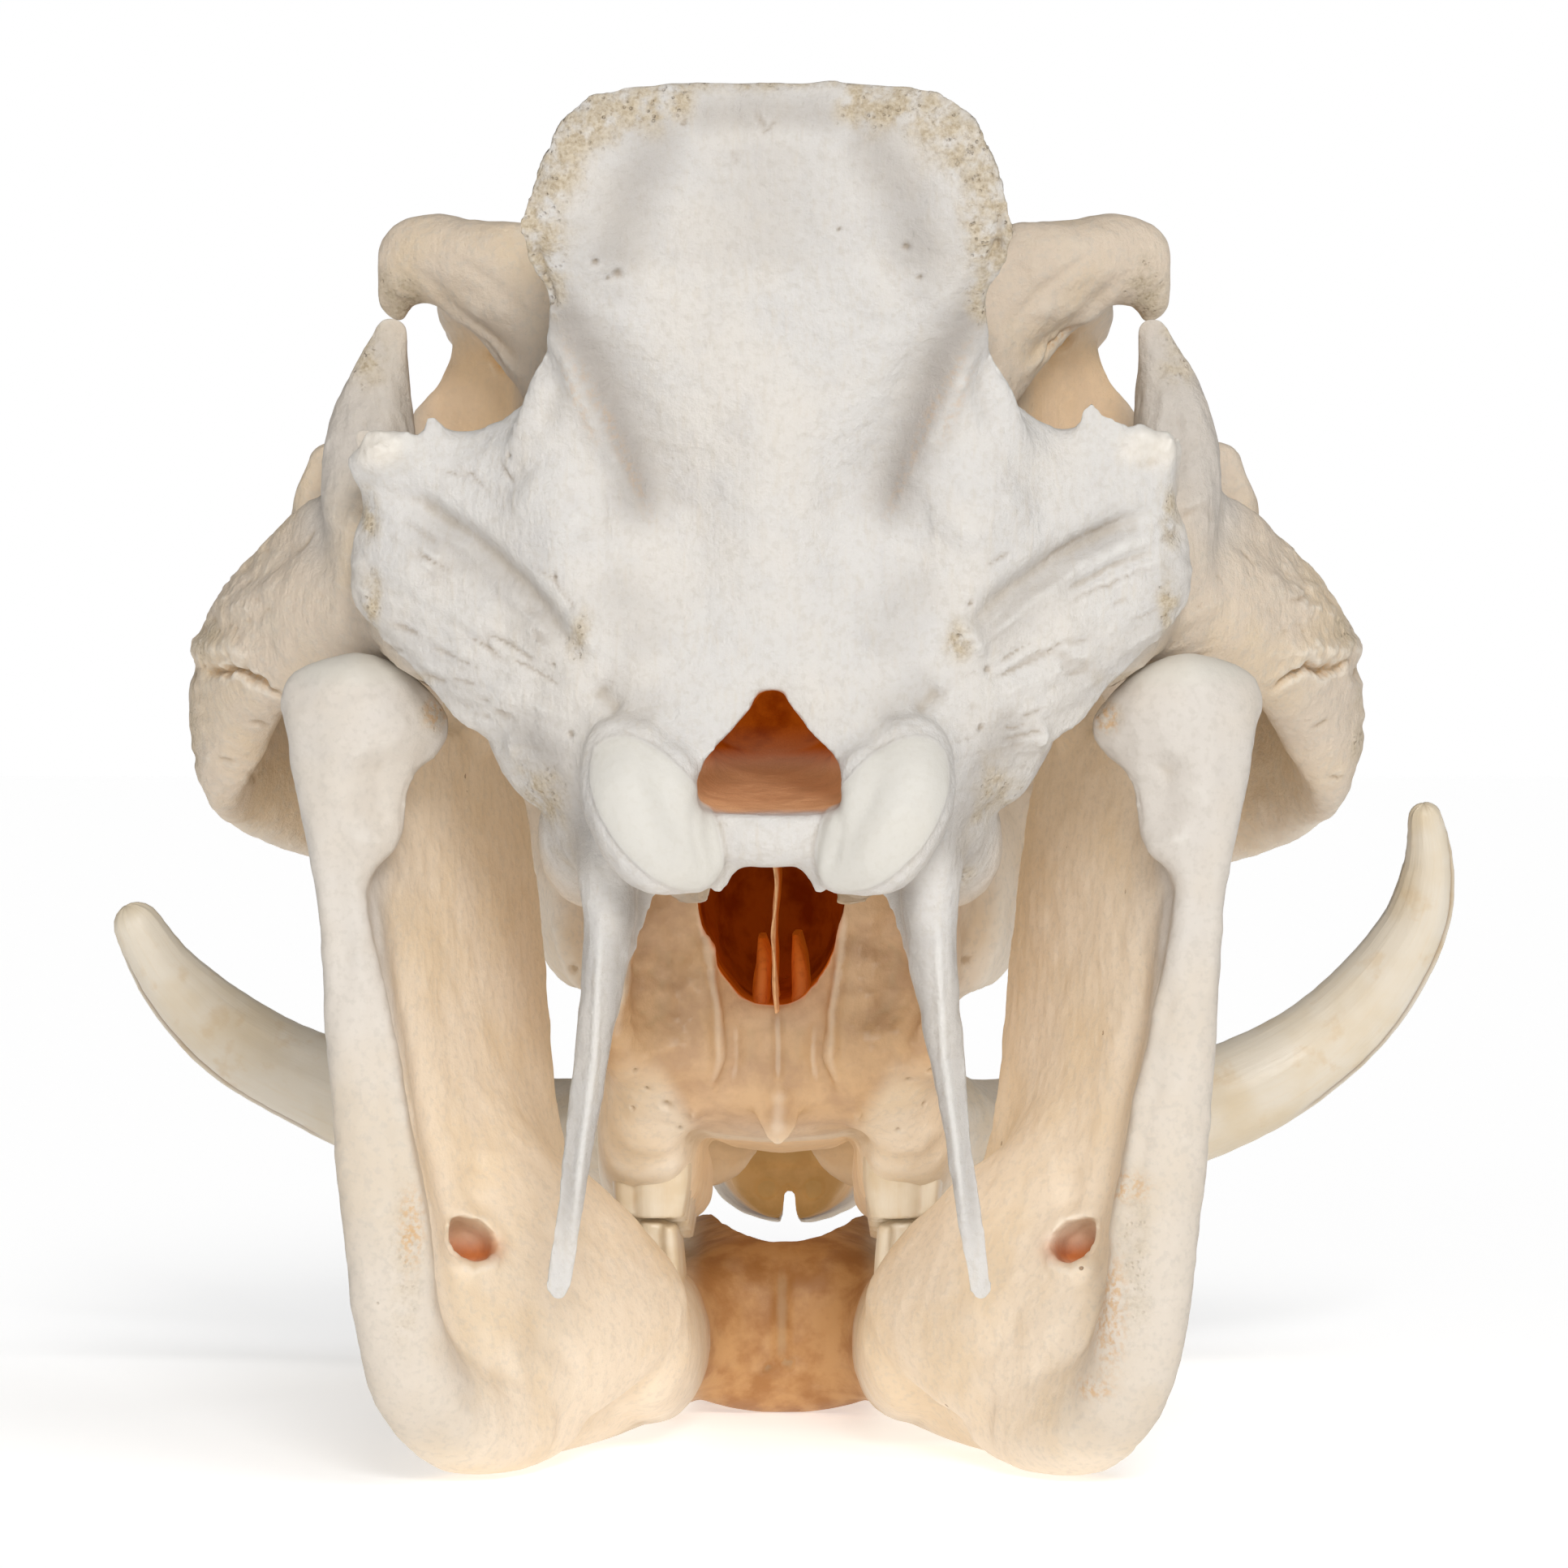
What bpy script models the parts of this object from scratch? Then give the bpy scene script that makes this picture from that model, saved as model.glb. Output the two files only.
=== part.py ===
"""Warthog skull at life size: cranium, lower jaw and four tusks, each one closed body.

Tables are in millimetres: x is across, y runs from the back of the head to the snout, z is up
from the floor the lower jaw rests on. A row of a loft is x, y, z, half width, half height and,
where there is a sixth number, how far the two edges of the section are bent.
"""

import math

import bmesh
import bpy
import mathutils

MM = 0.001
MIDDLE_Y = 173.25
ACROSS = mathutils.Vector((1, 0, 0))
FORWARD = mathutils.Vector((0, 1, 0))
UP = mathutils.Vector((0, 0, 1))
GAP = 0.3
JOINT_GAP = 1.6
VOXEL = 2.0
TOOTH_SLOPE = 0.14


def curve_value(a, b, c, d, t):
    """Catmull-Rom between b and c."""
    bend = 2 * a - 5 * b + 4 * c - d
    twist = -a + 3 * b - 3 * c + d
    return b + 0.5 * t * ((c - a) + t * (bend + t * twist))


def smooth_rows(rows, steps):
    """More rows between the given ones, on a curve through all of them."""
    wide = [tuple(row) + (0.0,) * (6 - len(row)) for row in rows]
    last = len(wide) - 1
    found = []
    for i in range(last):
        near = (wide[max(i - 1, 0)], wide[i], wide[i + 1], wide[min(i + 2, last)])
        for k in range(steps):
            found.append([curve_value(*four, k / steps) for four in zip(*near)])
    found.append(list(wide[last]))
    return found


def frames(points, side, lift, along):
    """The direction of travel, of the half width and of the half height at each point."""
    found = []
    before = None
    for i, point in enumerate(points):
        ahead = points[min(i + 1, len(points) - 1)]
        behind = points[max(i - 1, 0)]
        travel = along or (ahead - behind).normalized()
        if side is not None:
            wide = (side - side.dot(travel) * travel).normalized()
            high = wide.cross(travel)
        else:
            high = (lift - lift.dot(travel) * travel).normalized()
            wide = travel.cross(high)
        if before is None:
            turned = high.dot(UP + 0.1 * FORWARD) < 0
        else:
            turned = high.dot(before) < 0
        if turned:
            high = -high
        before = high
        found.append((travel, wide, high))
    return found


def loft(rows, side=ACROSS, lift=None, along=None, sides=20, steps=3, power=2.0, cap=None):
    """A closed tube through the rows, with rounded ends."""
    if lift is not None:
        side = None
    path = smooth_rows(rows, steps)
    centres = [mathutils.Vector(row[:3]) for row in path]
    axes = frames(centres, side, lift, along)
    stations = [(c, row[3], row[4], row[5], axis) for c, row, axis in zip(centres, path, axes)]

    def rounded(station, sign):
        centre, wide, high, bow, axis = station
        reach = min(wide, high) if cap is None else cap
        found = []
        for degrees in (30, 58, 80):
            turn = math.radians(degrees)
            shrink = math.cos(turn)
            moved = centre + axis[0] * (sign * reach * math.sin(turn))
            found.append((moved, wide * shrink, high * shrink, bow * shrink, axis))
        return found

    stations = rounded(stations[0], -1)[::-1] + stations + rounded(stations[-1], 1)
    points = []
    for centre, wide, high, bow, axis in stations:
        for k in range(sides):
            turn = 2 * math.pi * k / sides
            c = math.cos(turn)
            s = math.sin(turn)
            u = math.copysign(abs(c) ** (2 / power), c)
            v = math.copysign(abs(s) ** (2 / power), s)
            points.append(centre + axis[1] * (wide * u) + axis[2] * (high * v + bow * u * u))
    faces = []
    for ring in range(len(stations) - 1):
        for k in range(sides):
            a = ring * sides + k
            b = ring * sides + (k + 1) % sides
            faces.append((a, b, b + sides, a + sides))
    faces.append(tuple(range(sides))[::-1])
    faces.append(tuple(range(len(points) - sides, len(points))))
    return points, faces


def ball(x, y, z, rx, ry, rz):
    """An ellipsoid."""
    rows = []
    for degrees in (-80, -55, -30, 0, 30, 55, 80):
        turn = math.radians(degrees)
        rows.append((x, y + ry * math.sin(turn), z, rx * math.cos(turn), rz * math.cos(turn)))
    return loft(rows, along=FORWARD, steps=1, cap=0.2)


def block(low, high):
    """A box between two corners."""
    points = [mathutils.Vector((x, y, z)) for x in (low[0], high[0]) for y in (low[1], high[1])
              for z in (low[2], high[2])]
    faces = [(0, 1, 3, 2), (4, 6, 7, 5), (0, 4, 5, 1), (2, 3, 7, 6), (0, 2, 6, 4), (1, 5, 7, 3)]
    return points, faces


def mirrored(shape):
    points, faces = shape
    return [mathutils.Vector((-p.x, p.y, p.z)) for p in points], [face[::-1] for face in faces]


def both(*shapes):
    """Each shape and its copy on the other side of the head."""
    return [half for shape in shapes for half in (shape, mirrored(shape))]


def made(name, shapes):
    """One object that holds all these shapes."""
    points = []
    faces = []
    for some_points, some_faces in shapes:
        start = len(points)
        points += [(p - mathutils.Vector((0, MIDDLE_Y, 0))) * MM for p in some_points]
        faces += [[start + i for i in face] for face in some_faces]
    mesh = bpy.data.meshes.new(name)
    mesh.from_pydata(points, [], faces)
    obj = bpy.data.objects.new(name, mesh)
    bpy.context.scene.collection.objects.link(obj)
    outward(obj)
    return obj


def outward(obj):
    """Turns the faces of every closed shell outward."""
    work = bmesh.new()
    work.from_mesh(obj.data)
    bmesh.ops.recalc_face_normals(work, faces=work.faces)
    work.to_mesh(obj.data)
    work.free()


def apply_modifiers(obj):
    graph = bpy.context.evaluated_depsgraph_get()
    before = obj.data
    obj.data = bpy.data.meshes.new_from_object(obj.evaluated_get(graph))
    obj.modifiers.clear()
    bpy.data.meshes.remove(before)


def melt(obj, voxel):
    """Makes overlapping shapes one surface."""
    remesh = obj.modifiers.new("melt", "REMESH")
    remesh.mode = "VOXEL"
    remesh.voxel_size = voxel * MM
    apply_modifiers(obj)


def soften(obj, times):
    smooth = obj.modifiers.new("soften", "SMOOTH")
    smooth.factor = 0.5
    smooth.iterations = times
    apply_modifiers(obj)


def thin_out(obj, triangles):
    """Fewer triangles, about as many as asked for."""
    obj.data.calc_loop_triangles()
    decimate = obj.modifiers.new("thin out", "DECIMATE")
    decimate.ratio = triangles / len(obj.data.loop_triangles)
    apply_modifiers(obj)


def cut_away(obj, cutter):
    """Cuts one object from another and removes it."""
    cut = obj.modifiers.new("cut", "BOOLEAN")
    cut.operation = "DIFFERENCE"
    cut.object = cutter
    apply_modifiers(obj)
    bpy.data.objects.remove(cutter)


def fuse(obj, pieces):
    """Joins a collection of closed pieces to the object they grow from, and removes them."""
    group = bpy.data.collections.new("pieces")
    for piece in pieces:
        group.objects.link(piece)
    join = obj.modifiers.new("fuse", "BOOLEAN")
    join.operation = "UNION"
    join.operand_type = "COLLECTION"
    join.collection = group
    apply_modifiers(obj)
    bpy.data.collections.remove(group)
    for piece in pieces:
        bpy.data.objects.remove(piece)


def keep_largest(obj):
    """Drops every closed surface but the one with the most faces."""
    work = bmesh.new()
    work.from_mesh(obj.data)
    left = set(work.verts)
    islands = []
    while left:
        grow = [left.pop()]
        island = set(grow)
        while grow:
            for edge in grow.pop().link_edges:
                for vert in edge.verts:
                    if vert in left:
                        left.discard(vert)
                        island.add(vert)
                        grow.append(vert)
        islands.append(island)
    islands.sort(key=len)
    for island in islands[:-1]:
        bmesh.ops.delete(work, geom=list(island), context="VERTS")
    work.to_mesh(obj.data)
    work.free()


def bone(name, shapes, cutters, triangles):
    """One bone from overlapping shapes, with hollows cut into it."""
    obj = made(name, shapes)
    melt(obj, VOXEL)
    hollow = made(name + "_hollows", cutters)
    melt(hollow, VOXEL)
    cut_away(obj, hollow)
    melt(obj, VOXEL)
    soften(obj, 3)
    keep_largest(obj)
    thin_out(obj, triangles)
    return obj


# Back of the head
def occiput():
    plate = loft([
        (0, 17, 122, 30, 12, 0),
        (0, 20, 135, 38, 13, 0),
        (0, 24, 150, 46, 13, 2),
        (0, 28, 165, 50, 12, 0),
        (0, 28, 180, 50, 12, -3),
        (0, 25, 190, 47, 12, -5),
        (0, 22, 200, 39.5, 12, -6),
        (0, 18, 212, 36.3, 11, -8),
        (0, 15, 220, 40, 10, -9),
        (0, 12, 228, 42.3, 9, -14),
        (0, 8, 238, 40.2, 7, -8),
        (0, 5, 246, 36.4, 6, -6),
        (0, 3.5, 250.5, 32, 4, -4),
    ], along=UP, sides=32, cap=3)
    wing = loft([
        (30, 20, 165, 8, 45),
        (36, 21, 164, 8, 41),
        (43, 24, 163.5, 7.5, 34.5),
        (50, 27, 165, 7, 28.7),
        (56, 29, 166.5, 6.5, 26.5),
        (60, 30, 169, 6, 24),
        (64.5, 31, 170, 5.5, 20),
        (70, 33, 171, 5, 16),
        (74, 35, 168, 4, 8),
    ], side=FORWARD, along=ACROSS, sides=24, cap=1.5)
    pillar = loft([
        (0, 17, 150, 15, 7),
        (0, 20, 170, 13, 8),
        (0, 18, 190, 12, 7),
        (0, 12, 210, 9, 5),
    ])
    ridge = loft([
        (20, 19, 150, 9, 7),
        (30, 20, 165, 8, 7),
        (36, 18, 180, 7, 7),
        (38, 15, 200, 5, 6),
    ])
    return [plate, pillar] + both(wing, ridge)


def braincase():
    case = loft([
        (0, 24, 180, 34, 56),
        (0, 45, 178, 36, 60),
        (0, 70, 176, 34, 58),
        (0, 95, 172, 36, 54),
        (0, 115, 158, 38, 60),
    ], along=FORWARD, power=2.4, sides=28, cap=2)
    roof = loft([
        (0, 5, 243, 34, 7),
        (0, 25, 240, 37, 11),
        (0, 45, 234, 37, 12),
        (0, 60, 221, 42, 9),
        (0, 76, 218.5, 58, 11),
        (0, 90, 216, 63, 11),
        (0, 102, 212.5, 62, 11),
        (0, 113, 207, 57, 12),
        (0, 125, 200, 53, 13),
        (0, 142, 189, 44, 13),
        (0, 162, 176, 33, 12),
    ], along=FORWARD, power=2.5, sides=28, cap=3)
    base = loft([
        (0, 8, 120, 14, 5.2),
        (0, 25, 123.5, 15, 8.5),
        (0, 45, 127.5, 17, 12),
        (0, 65, 129, 18, 13.5),
        (0, 85, 131, 20, 15),
    ], along=FORWARD, cap=3)
    bulla = loft([
        (31, 30, 125, 9, 12),
        (32, 40, 118, 10, 12),
        (30, 52, 118, 9, 11),
        (26, 64, 120, 7, 10),
    ], along=FORWARD)
    side_wall = loft([
        (40, 30, 150, 12, 26),
        (44, 45, 158, 13, 22),
        (40, 60, 160, 11, 20),
        (34, 75, 160, 9, 20),
    ], along=FORWARD)
    return [case, roof, base] + both(bulla, side_wall)


def condyles():
    knob = loft([
        (25, 10, 134, 8, 8),
        (25, 7, 126, 9, 8),
        (20, 6, 117, 8, 7),
        (13, 7, 114.5, 4.5, 4.5),
    ], side=FORWARD)
    process = loft([
        (32, 27, 142, 8, 10),
        (29.5, 26, 128, 7, 10),
        (28.8, 25, 114, 5.6, 9),
        (28.8, 25, 102.6, 4.8, 8),
        (30.7, 25, 88, 3.6, 6.5),
        (32.8, 25, 73.5, 2.8, 5),
        (34.8, 24, 59, 2.4, 3.8),
        (37, 24, 44.4, 2.2, 3),
        (37.9, 24, 38.2, 2.0, 2.4),
    ], cap=2)
    return both(knob, process)


# Sides of the head
def cheek_arch():
    body = ball(60, 46, 165, 14, 16, 20)
    peak = loft([
        (73, 60, 174, 7.5, 15),
        (73.5, 60, 186, 8.2, 13),
        (72.7, 60, 197, 6.8, 9),
        (70.8, 59, 205, 4.2, 5),
        (69, 58.5, 209.5, 2.2, 3),
    ], steps=4, cap=1.2)
    arch = loft([
        (66, 50, 162, 7, 12),
        (80, 60, 160, 7, 13),
        (92, 74, 156, 7, 14),
        (98.5, 88, 149, 7.5, 15),
        (103, 102, 140.5, 7, 18),
        (98.5, 120, 135.5, 7, 18.5),
        (87, 134, 131, 8, 19.5),
        (71, 146, 128.5, 9, 21.5),
        (54, 156, 127, 9, 24),
        (40, 164, 122, 8, 22),
    ], lift=UP, sides=22, steps=4)
    brow = loft([
        (72, 58, 172, 6, 10),
        (82, 67, 171, 6, 10),
        (90.5, 79, 164, 6, 10),
        (99, 88, 154, 6, 10),
    ], lift=UP)
    knob = ball(100.5, 91, 149, 7, 10, 9)
    rear_rim = loft([
        (100, 98, 150, 6, 8),
        (89.5, 92, 165, 6, 9),
        (84.5, 86, 177, 4.5, 8),
        (83, 84, 186, 4, 5),
    ])
    return both(body, peak, arch, brow, knob, rear_rim)


def orbits():
    rim = loft([
        (66, 76, 226, 5, 5),
        (68, 88, 226, 5, 5),
        (65, 100, 224, 5, 5),
        (60, 112, 218, 5, 6),
        (56, 121, 208, 6, 6),
        (56, 126, 196, 6, 6),
        (62, 124, 186, 6, 6),
        (73, 115, 180, 5, 6),
        (82, 102, 178, 5, 6),
        (86, 90, 180, 5, 6),
    ])
    hook = loft([
        (46, 64, 223, 9, 8),
        (56, 68, 223.5, 8, 8),
        (62, 71, 224.5, 7.5, 8.2),
        (66, 73, 223.8, 7, 7.8),
    ], side=FORWARD, cap=7)
    hook_tip = loft([
        (69, 74, 221, 4, 4),
        (71, 75, 217, 2.6, 2.2),
    ], side=FORWARD)
    beam = loft([
        (32, 54, 198, 7, 10),
        (42, 62, 209, 7, 9),
        (52, 68, 219, 7, 8),
        (62, 72, 226, 6, 6),
    ], side=FORWARD)
    wall = loft([
        (34, 62, 200, 8, 24),
        (41, 76, 200, 7, 24),
        (45, 92, 197, 7, 26),
        (49, 108, 190, 8, 27),
        (52, 120, 180, 9, 26),
    ], along=FORWARD)
    cheek = loft([
        (62, 116, 164, 12, 20),
        (58, 130, 153, 14, 24),
        (49, 146, 141, 13, 27),
        (41, 162, 130, 11, 27),
        (34, 184, 116, 8, 22),
        (29, 206, 102, 6, 16),
    ], along=FORWARD)
    jaw_side = loft([
        (37, 128, 106, 7, 20),
        (39.5, 142, 107, 8.5, 21),
        (39.5, 160, 104, 8.5, 20),
        (36, 184, 99, 6, 17),
        (31, 205, 93, 6, 15),
        (26, 226, 87, 6, 13),
    ], along=FORWARD)
    return both(rim, hook, hook_tip, beam, wall, cheek, jaw_side)


# Snout and upper jaw
def snout():
    tops = (
        (110, 220, 84, 42), (130, 212, 62, 40), (150, 202, 57, 37), (175, 188, 53, 33),
        (200, 173, 50, 30), (225, 158, 46, 29), (250, 144, 42, 30), (275, 129, 38, 31),
        (300, 114, 36, 29), (320, 99, 35, 25), (335, 86, 35, 20), (344, 76, 36, 14),
    )
    rows = [(0, y, (top + foot) / 2, wide, (top - foot) / 2) for y, top, foot, wide in tops]
    rostrum = loft(rows, along=FORWARD, power=2.6, sides=28, cap=4)
    socket = loft([
        (18, 226, 60, 16, 18),
        (31, 246, 52, 17, 12.8),
        (45, 259, 50.5, 16, 12.6),
        (56, 267, 50.5, 14, 13),
    ], lift=UP, cap=2)
    lip = loft([
        (0, 296, 47, 19, 12),
        (0, 325, 40.5, 18.5, 12),
        (0, 338, 37, 16.5, 10),
        (0, 346, 36, 13, 8),
    ], along=FORWARD, cap=4)
    jaw_edge = loft([
        (25, 114, 66, 8, 13),
        (26, 126, 64, 9.5, 16),
        (26, 145, 59, 10, 16),
        (24.5, 168, 53, 9.5, 12),
        (23, 190, 47, 9, 9),
        (22, 215, 45, 8, 7),
    ], along=FORWARD, cap=4)
    return [rostrum, lip] + both(socket, jaw_edge)


def throat():
    """The bone between the brain case and the palate."""
    plate = loft([
        (20, 64, 114, 3.5, 7),
        (21.5, 76, 100, 4, 8),
        (22, 88, 86, 4.5, 9),
        (22, 102, 72, 7, 9),
        (23, 112, 64, 8, 8),
    ])
    palate = loft([
        (0, 98, 73, 16, 7),
        (0, 108, 69, 21, 8),
        (0, 120, 67, 25, 8),
        (0, 132, 66, 26, 8),
    ], along=FORWARD, cap=2)
    inner = loft([
        (0, 84, 121, 26, 20),
        (0, 96, 112, 30, 32),
        (0, 110, 107, 34, 40),
        (0, 125, 105, 36, 41),
    ], along=FORWARD, power=3, cap=3)
    spine = loft([
        (0, 100, 76, 2.5, 3),
        (0, 110, 69, 3.5, 3),
        (0, 119, 62, 2.5, 3),
    ])
    return [palate, inner, spine] + both(plate)


def cranium_hollows():
    nerve_hole = loft([
        (0.3, 22, 126.5, 13.2, 30),
        (0.3, 22, 130, 13.2, 30),
        (0.3, 22, 134, 10.8, 30),
        (0.3, 22, 138, 8, 30),
        (0.3, 22, 142, 5.0, 30),
        (0.3, 22, 146, 2.4, 30),
    ], along=UP, power=3, cap=2)
    brain_room = ball(0, 50, 150, 20, 24, 18)
    breath = loft([
        (-0.5, 100, 88, 6, 40),
        (-0.5, 100, 92, 9.5, 40),
        (-0.5, 100, 98, 12.5, 40),
        (-0.5, 100, 105, 14, 40),
        (-0.5, 100, 110, 13.5, 40),
        (-0.5, 100, 114, 10, 40),
    ], along=UP, power=3, cap=2)
    nose = loft([
        (0, 268, 88, 10, 10),
        (0, 300, 80, 15, 15),
        (0, 330, 70, 15, 18),
        (0, 356, 64, 14, 20),
    ], along=FORWARD, power=2.6)
    front_slit = loft([
        (-0.7, 322, 30, 1.6, 12),
        (-0.7, 360, 30, 2.2, 12),
    ], along=FORWARD)
    return [nerve_hole, brain_room, breath, nose, front_slit] + both(jaw_condyle(JOINT_GAP))


# Lower jaw
def jaw_condyle(grown=0.0):
    """The knob of the jaw joint, or the hollow it moves in when it is grown."""
    rows = ((62, 46, 138, 6, 6), (67, 45, 141.5, 8, 8), (76, 45, 144, 8.5, 8), (82, 46, 143, 7, 7.5))
    return loft([(x, y, z, a + grown, b + grown) for x, y, z, a, b in rows], side=FORWARD)


def lower_jaw():
    condyle = jaw_condyle()
    rear_edge = loft([
        (74, 46, 138, 11, 8),
        (73, 46, 122, 10, 7.5),
        (72.5, 45, 105, 9, 7),
        (72, 43, 88, 8.6, 7),
        (71.3, 42, 70, 8.2, 7),
        (69.6, 43, 52, 8, 8),
        (66.5, 46, 34, 8.8, 9),
        (61, 52, 20, 10, 10),
        (54, 62, 11.5, 10, 10),
        (50, 76, 10, 10, 9.5),
    ])
    rear_face = loft([
        (70, 43, 141, 13, 6),
        (71, 42, 132, 10, 6),
        (73, 43, 122, 7, 6),
    ], cap=2)
    inward = mathutils.Vector((-0.37, 0.93, 0))
    ramus = loft([
        (63.5, 73, 140, 30, 4.5),
        (62, 76, 128, 36, 5),
        (60.5, 79, 112, 38.5, 5),
        (59, 81, 90, 40, 5),
        (57, 83, 65, 40.5, 5.5),
        (52.5, 89, 42, 42, 6.5),
        (50, 90, 24, 40, 8),
    ], side=inward, along=UP, power=3, sides=28)
    coronoid = loft([
        (57, 90, 138, 9, 4.5),
        (55.5, 94, 146, 5.5, 3.5),
        (55, 95, 152, 2.5, 2.5),
    ], side=inward)
    body_rows = []
    for x, y, top, wide in (
        (56, 72, 44, 11), (50, 90, 40, 13), (42, 112, 37, 14), (35, 135, 35, 14),
        (30, 160, 32, 13), (26, 185, 30.5, 12), (22, 205, 31, 12), (19, 232, 30, 10),
    ):
        body_rows.append((x, y, top / 2 + 0.4, wide, top / 2))
    body = loft(body_rows, along=FORWARD, sides=22)
    tooth_ridge = loft([
        (26, 114, 22, 10, 14),
        (25, 135, 19, 10, 15),
        (24, 160, 17, 10, 15),
        (23, 188, 17, 10, 14),
    ], along=FORWARD)
    chin = loft([
        (0, 188, 17.5, 22, 17.5),
        (0, 212, 17.5, 26, 18),
        (0, 238, 18, 29, 18.5),
        (0, 265, 19.5, 33, 16),
        (0, 290, 20, 33, 11.8),
        (0, 310, 20.5, 29, 7.5),
        (0, 322, 20.5, 24, 5),
    ], along=FORWARD, power=2.5, sides=26, cap=4)
    socket = loft([
        (24, 262, 18, 11, 11),
        (34, 274, 22, 11.5, 12),
        (41, 284, 27, 11, 11.5),
    ], lift=UP, cap=2)
    return [chin] + both(condyle, rear_edge, rear_face, ramus, coronoid, body, tooth_ridge, socket)


def lower_jaw_hollows():
    trough = loft([
        (0, 196, 46, 15, 12),
        (0, 250, 40, 16, 12),
        (0, 300, 35, 18, 12),
        (0, 340, 33, 18, 13),
    ], along=FORWARD)
    nerve_entry = loft([
        (48, 64, 46, 5, 4),
        (53, 74, 42.5, 4.5, 3.5),
        (58, 82, 40, 3, 2.5),
    ])
    return [trough] + both(nerve_entry)


# Teeth
def molar_row(x, first, last, foot, crown, wide, pairs):
    """A cheek tooth row with one bulge in its sides for each pair of columns."""
    rows = []
    for i in range(2 * pairs + 1):
        y = first + (last - first) * i / (2 * pairs)
        drop = TOOTH_SLOPE * (y - first)
        half = wide if i % 2 else 0.76 * wide
        rows.append((x, y, (foot + crown) / 2 - drop, half, abs(crown - foot) / 2))
    return loft(rows, along=FORWARD, power=4, sides=16, steps=1, cap=0.5)


def peg(x, y, z, lean_x, lean_y, lean_z, radius):
    return loft([
        (x, y, z, radius, radius),
        (x + lean_x, y + lean_y, z + lean_z, 0.75 * radius, 0.7 * radius),
    ], sides=10, steps=2)


def upper_teeth():
    return both(molar_row(24, 120, 188, 60, 44, 7.3, 8))


def lower_teeth():
    cheek = both(molar_row(24, 121, 189, 26, 43.2, 6.6, 8))
    front = both(*[peg(4 + 7 * i, 316 - 3 * i, 18 + i, 1 + i, 16, 1.5, 3.2) for i in range(3)])
    return cheek + front


def add_teeth(obj, rows):
    """Teeth and the bone they grow from become one closed body."""
    fuse(obj, [made("tooth", [shape]) for shape in rows])
    keep_largest(obj)


# Tusks
UPPER_ROOT = (
    (34, 252, 50.5, 9.5, 9.8), (48, 261, 50, 10, 10.3), (66, 271, 51, 10, 11), (86, 279, 56, 9.6, 11),
)
UPPER_RIGHT = UPPER_ROOT + (
    (105, 282, 65, 9, 10), (119, 281, 77, 8, 9), (129, 277, 92, 6.4, 7.2),
    (132, 272, 105, 4.8, 5.4), (131, 267, 116, 3, 3.4),
)
UPPER_LEFT = UPPER_ROOT + (
    (104, 282, 63, 9, 9.8), (117, 281, 71, 8, 9), (128, 278, 82, 6.6, 7),
    (134.5, 275, 93, 5, 5),
)
LOWER = (
    (30, 270, 20, 7.5, 8), (40, 284, 26, 8, 8.5), (50, 295, 35, 7, 7.5),
    (60, 302, 46, 5.5, 5.5), (68, 305, 57, 3.5, 3.5), (72, 305, 65, 1.5, 1.5),
)


def tusk(rows, grown=0.0):
    """A tusk, or the socket that holds it when it is grown a little."""
    wider = [(x, y, z, a + grown, b + grown) for x, y, z, a, b in rows]
    return loft(wider, side=FORWARD, sides=14, steps=2)


def fit_tusk(obj, name, rows, turn=None):
    """Cuts the socket of a tusk and makes the tusk; turn gives it to the other side."""
    shape = tusk(rows)
    socket = tusk(rows, GAP)
    if turn:
        shape = turn(shape)
        socket = turn(socket)
    cut_away(obj, made("socket", [socket]))
    made(name, [shape])


def trim_at_floor(obj):
    """Small flats at one level where the lower jaw touches the floor."""
    floor = block((-200, -40, -40), (200, 440, 0))
    cut_away(obj, made("floor_cut", [floor]))


def paint(name, colour, roughness):
    """Gives an object a material of its own."""
    material = bpy.data.materials.new(name + "_material")
    material.use_nodes = True
    shader = material.node_tree.nodes["Principled BSDF"]
    shader.inputs["Base Color"].default_value = (*colour, 1)
    shader.inputs["Roughness"].default_value = roughness
    material.diffuse_color = (*colour, 1)
    mesh = bpy.data.objects[name].data
    mesh.materials.clear()
    mesh.materials.append(material)


def build():
    for obj in list(bpy.data.objects):
        bpy.data.objects.remove(obj)
    shapes = occiput() + braincase() + condyles() + cheek_arch() + orbits() + snout() + throat()
    cranium = bone("cranium", shapes, cranium_hollows(), 7400)
    add_teeth(cranium, upper_teeth())
    fit_tusk(cranium, "upper_tusk_right", UPPER_RIGHT)
    fit_tusk(cranium, "upper_tusk_left", UPPER_LEFT, mirrored)
    keep_largest(cranium)
    mandible = bone("mandible", lower_jaw(), lower_jaw_hollows(), 3600)
    add_teeth(mandible, lower_teeth())
    trim_at_floor(mandible)
    fit_tusk(mandible, "lower_tusk_right", LOWER)
    fit_tusk(mandible, "lower_tusk_left", LOWER, mirrored)
    keep_largest(mandible)
    for name in ("cranium", "mandible"):
        paint(name, (0.80, 0.74, 0.63), 0.6)
    for name in ("upper_tusk", "lower_tusk"):
        for word in ("right", "left"):
            paint(name + "_" + word, (0.86, 0.78, 0.62), 0.35)


build()
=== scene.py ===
"""Looks of the warthog skull: fine bone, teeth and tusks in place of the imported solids.

Tables are in millimetres, in the same frame as the solids: x is across, y runs from the back of
the head to the snout, z is up from the floor. A row of a loft is x, y, z, half width, half height
and, where there is a sixth number, how far the two edges of the section are bent.
"""

import math

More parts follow.
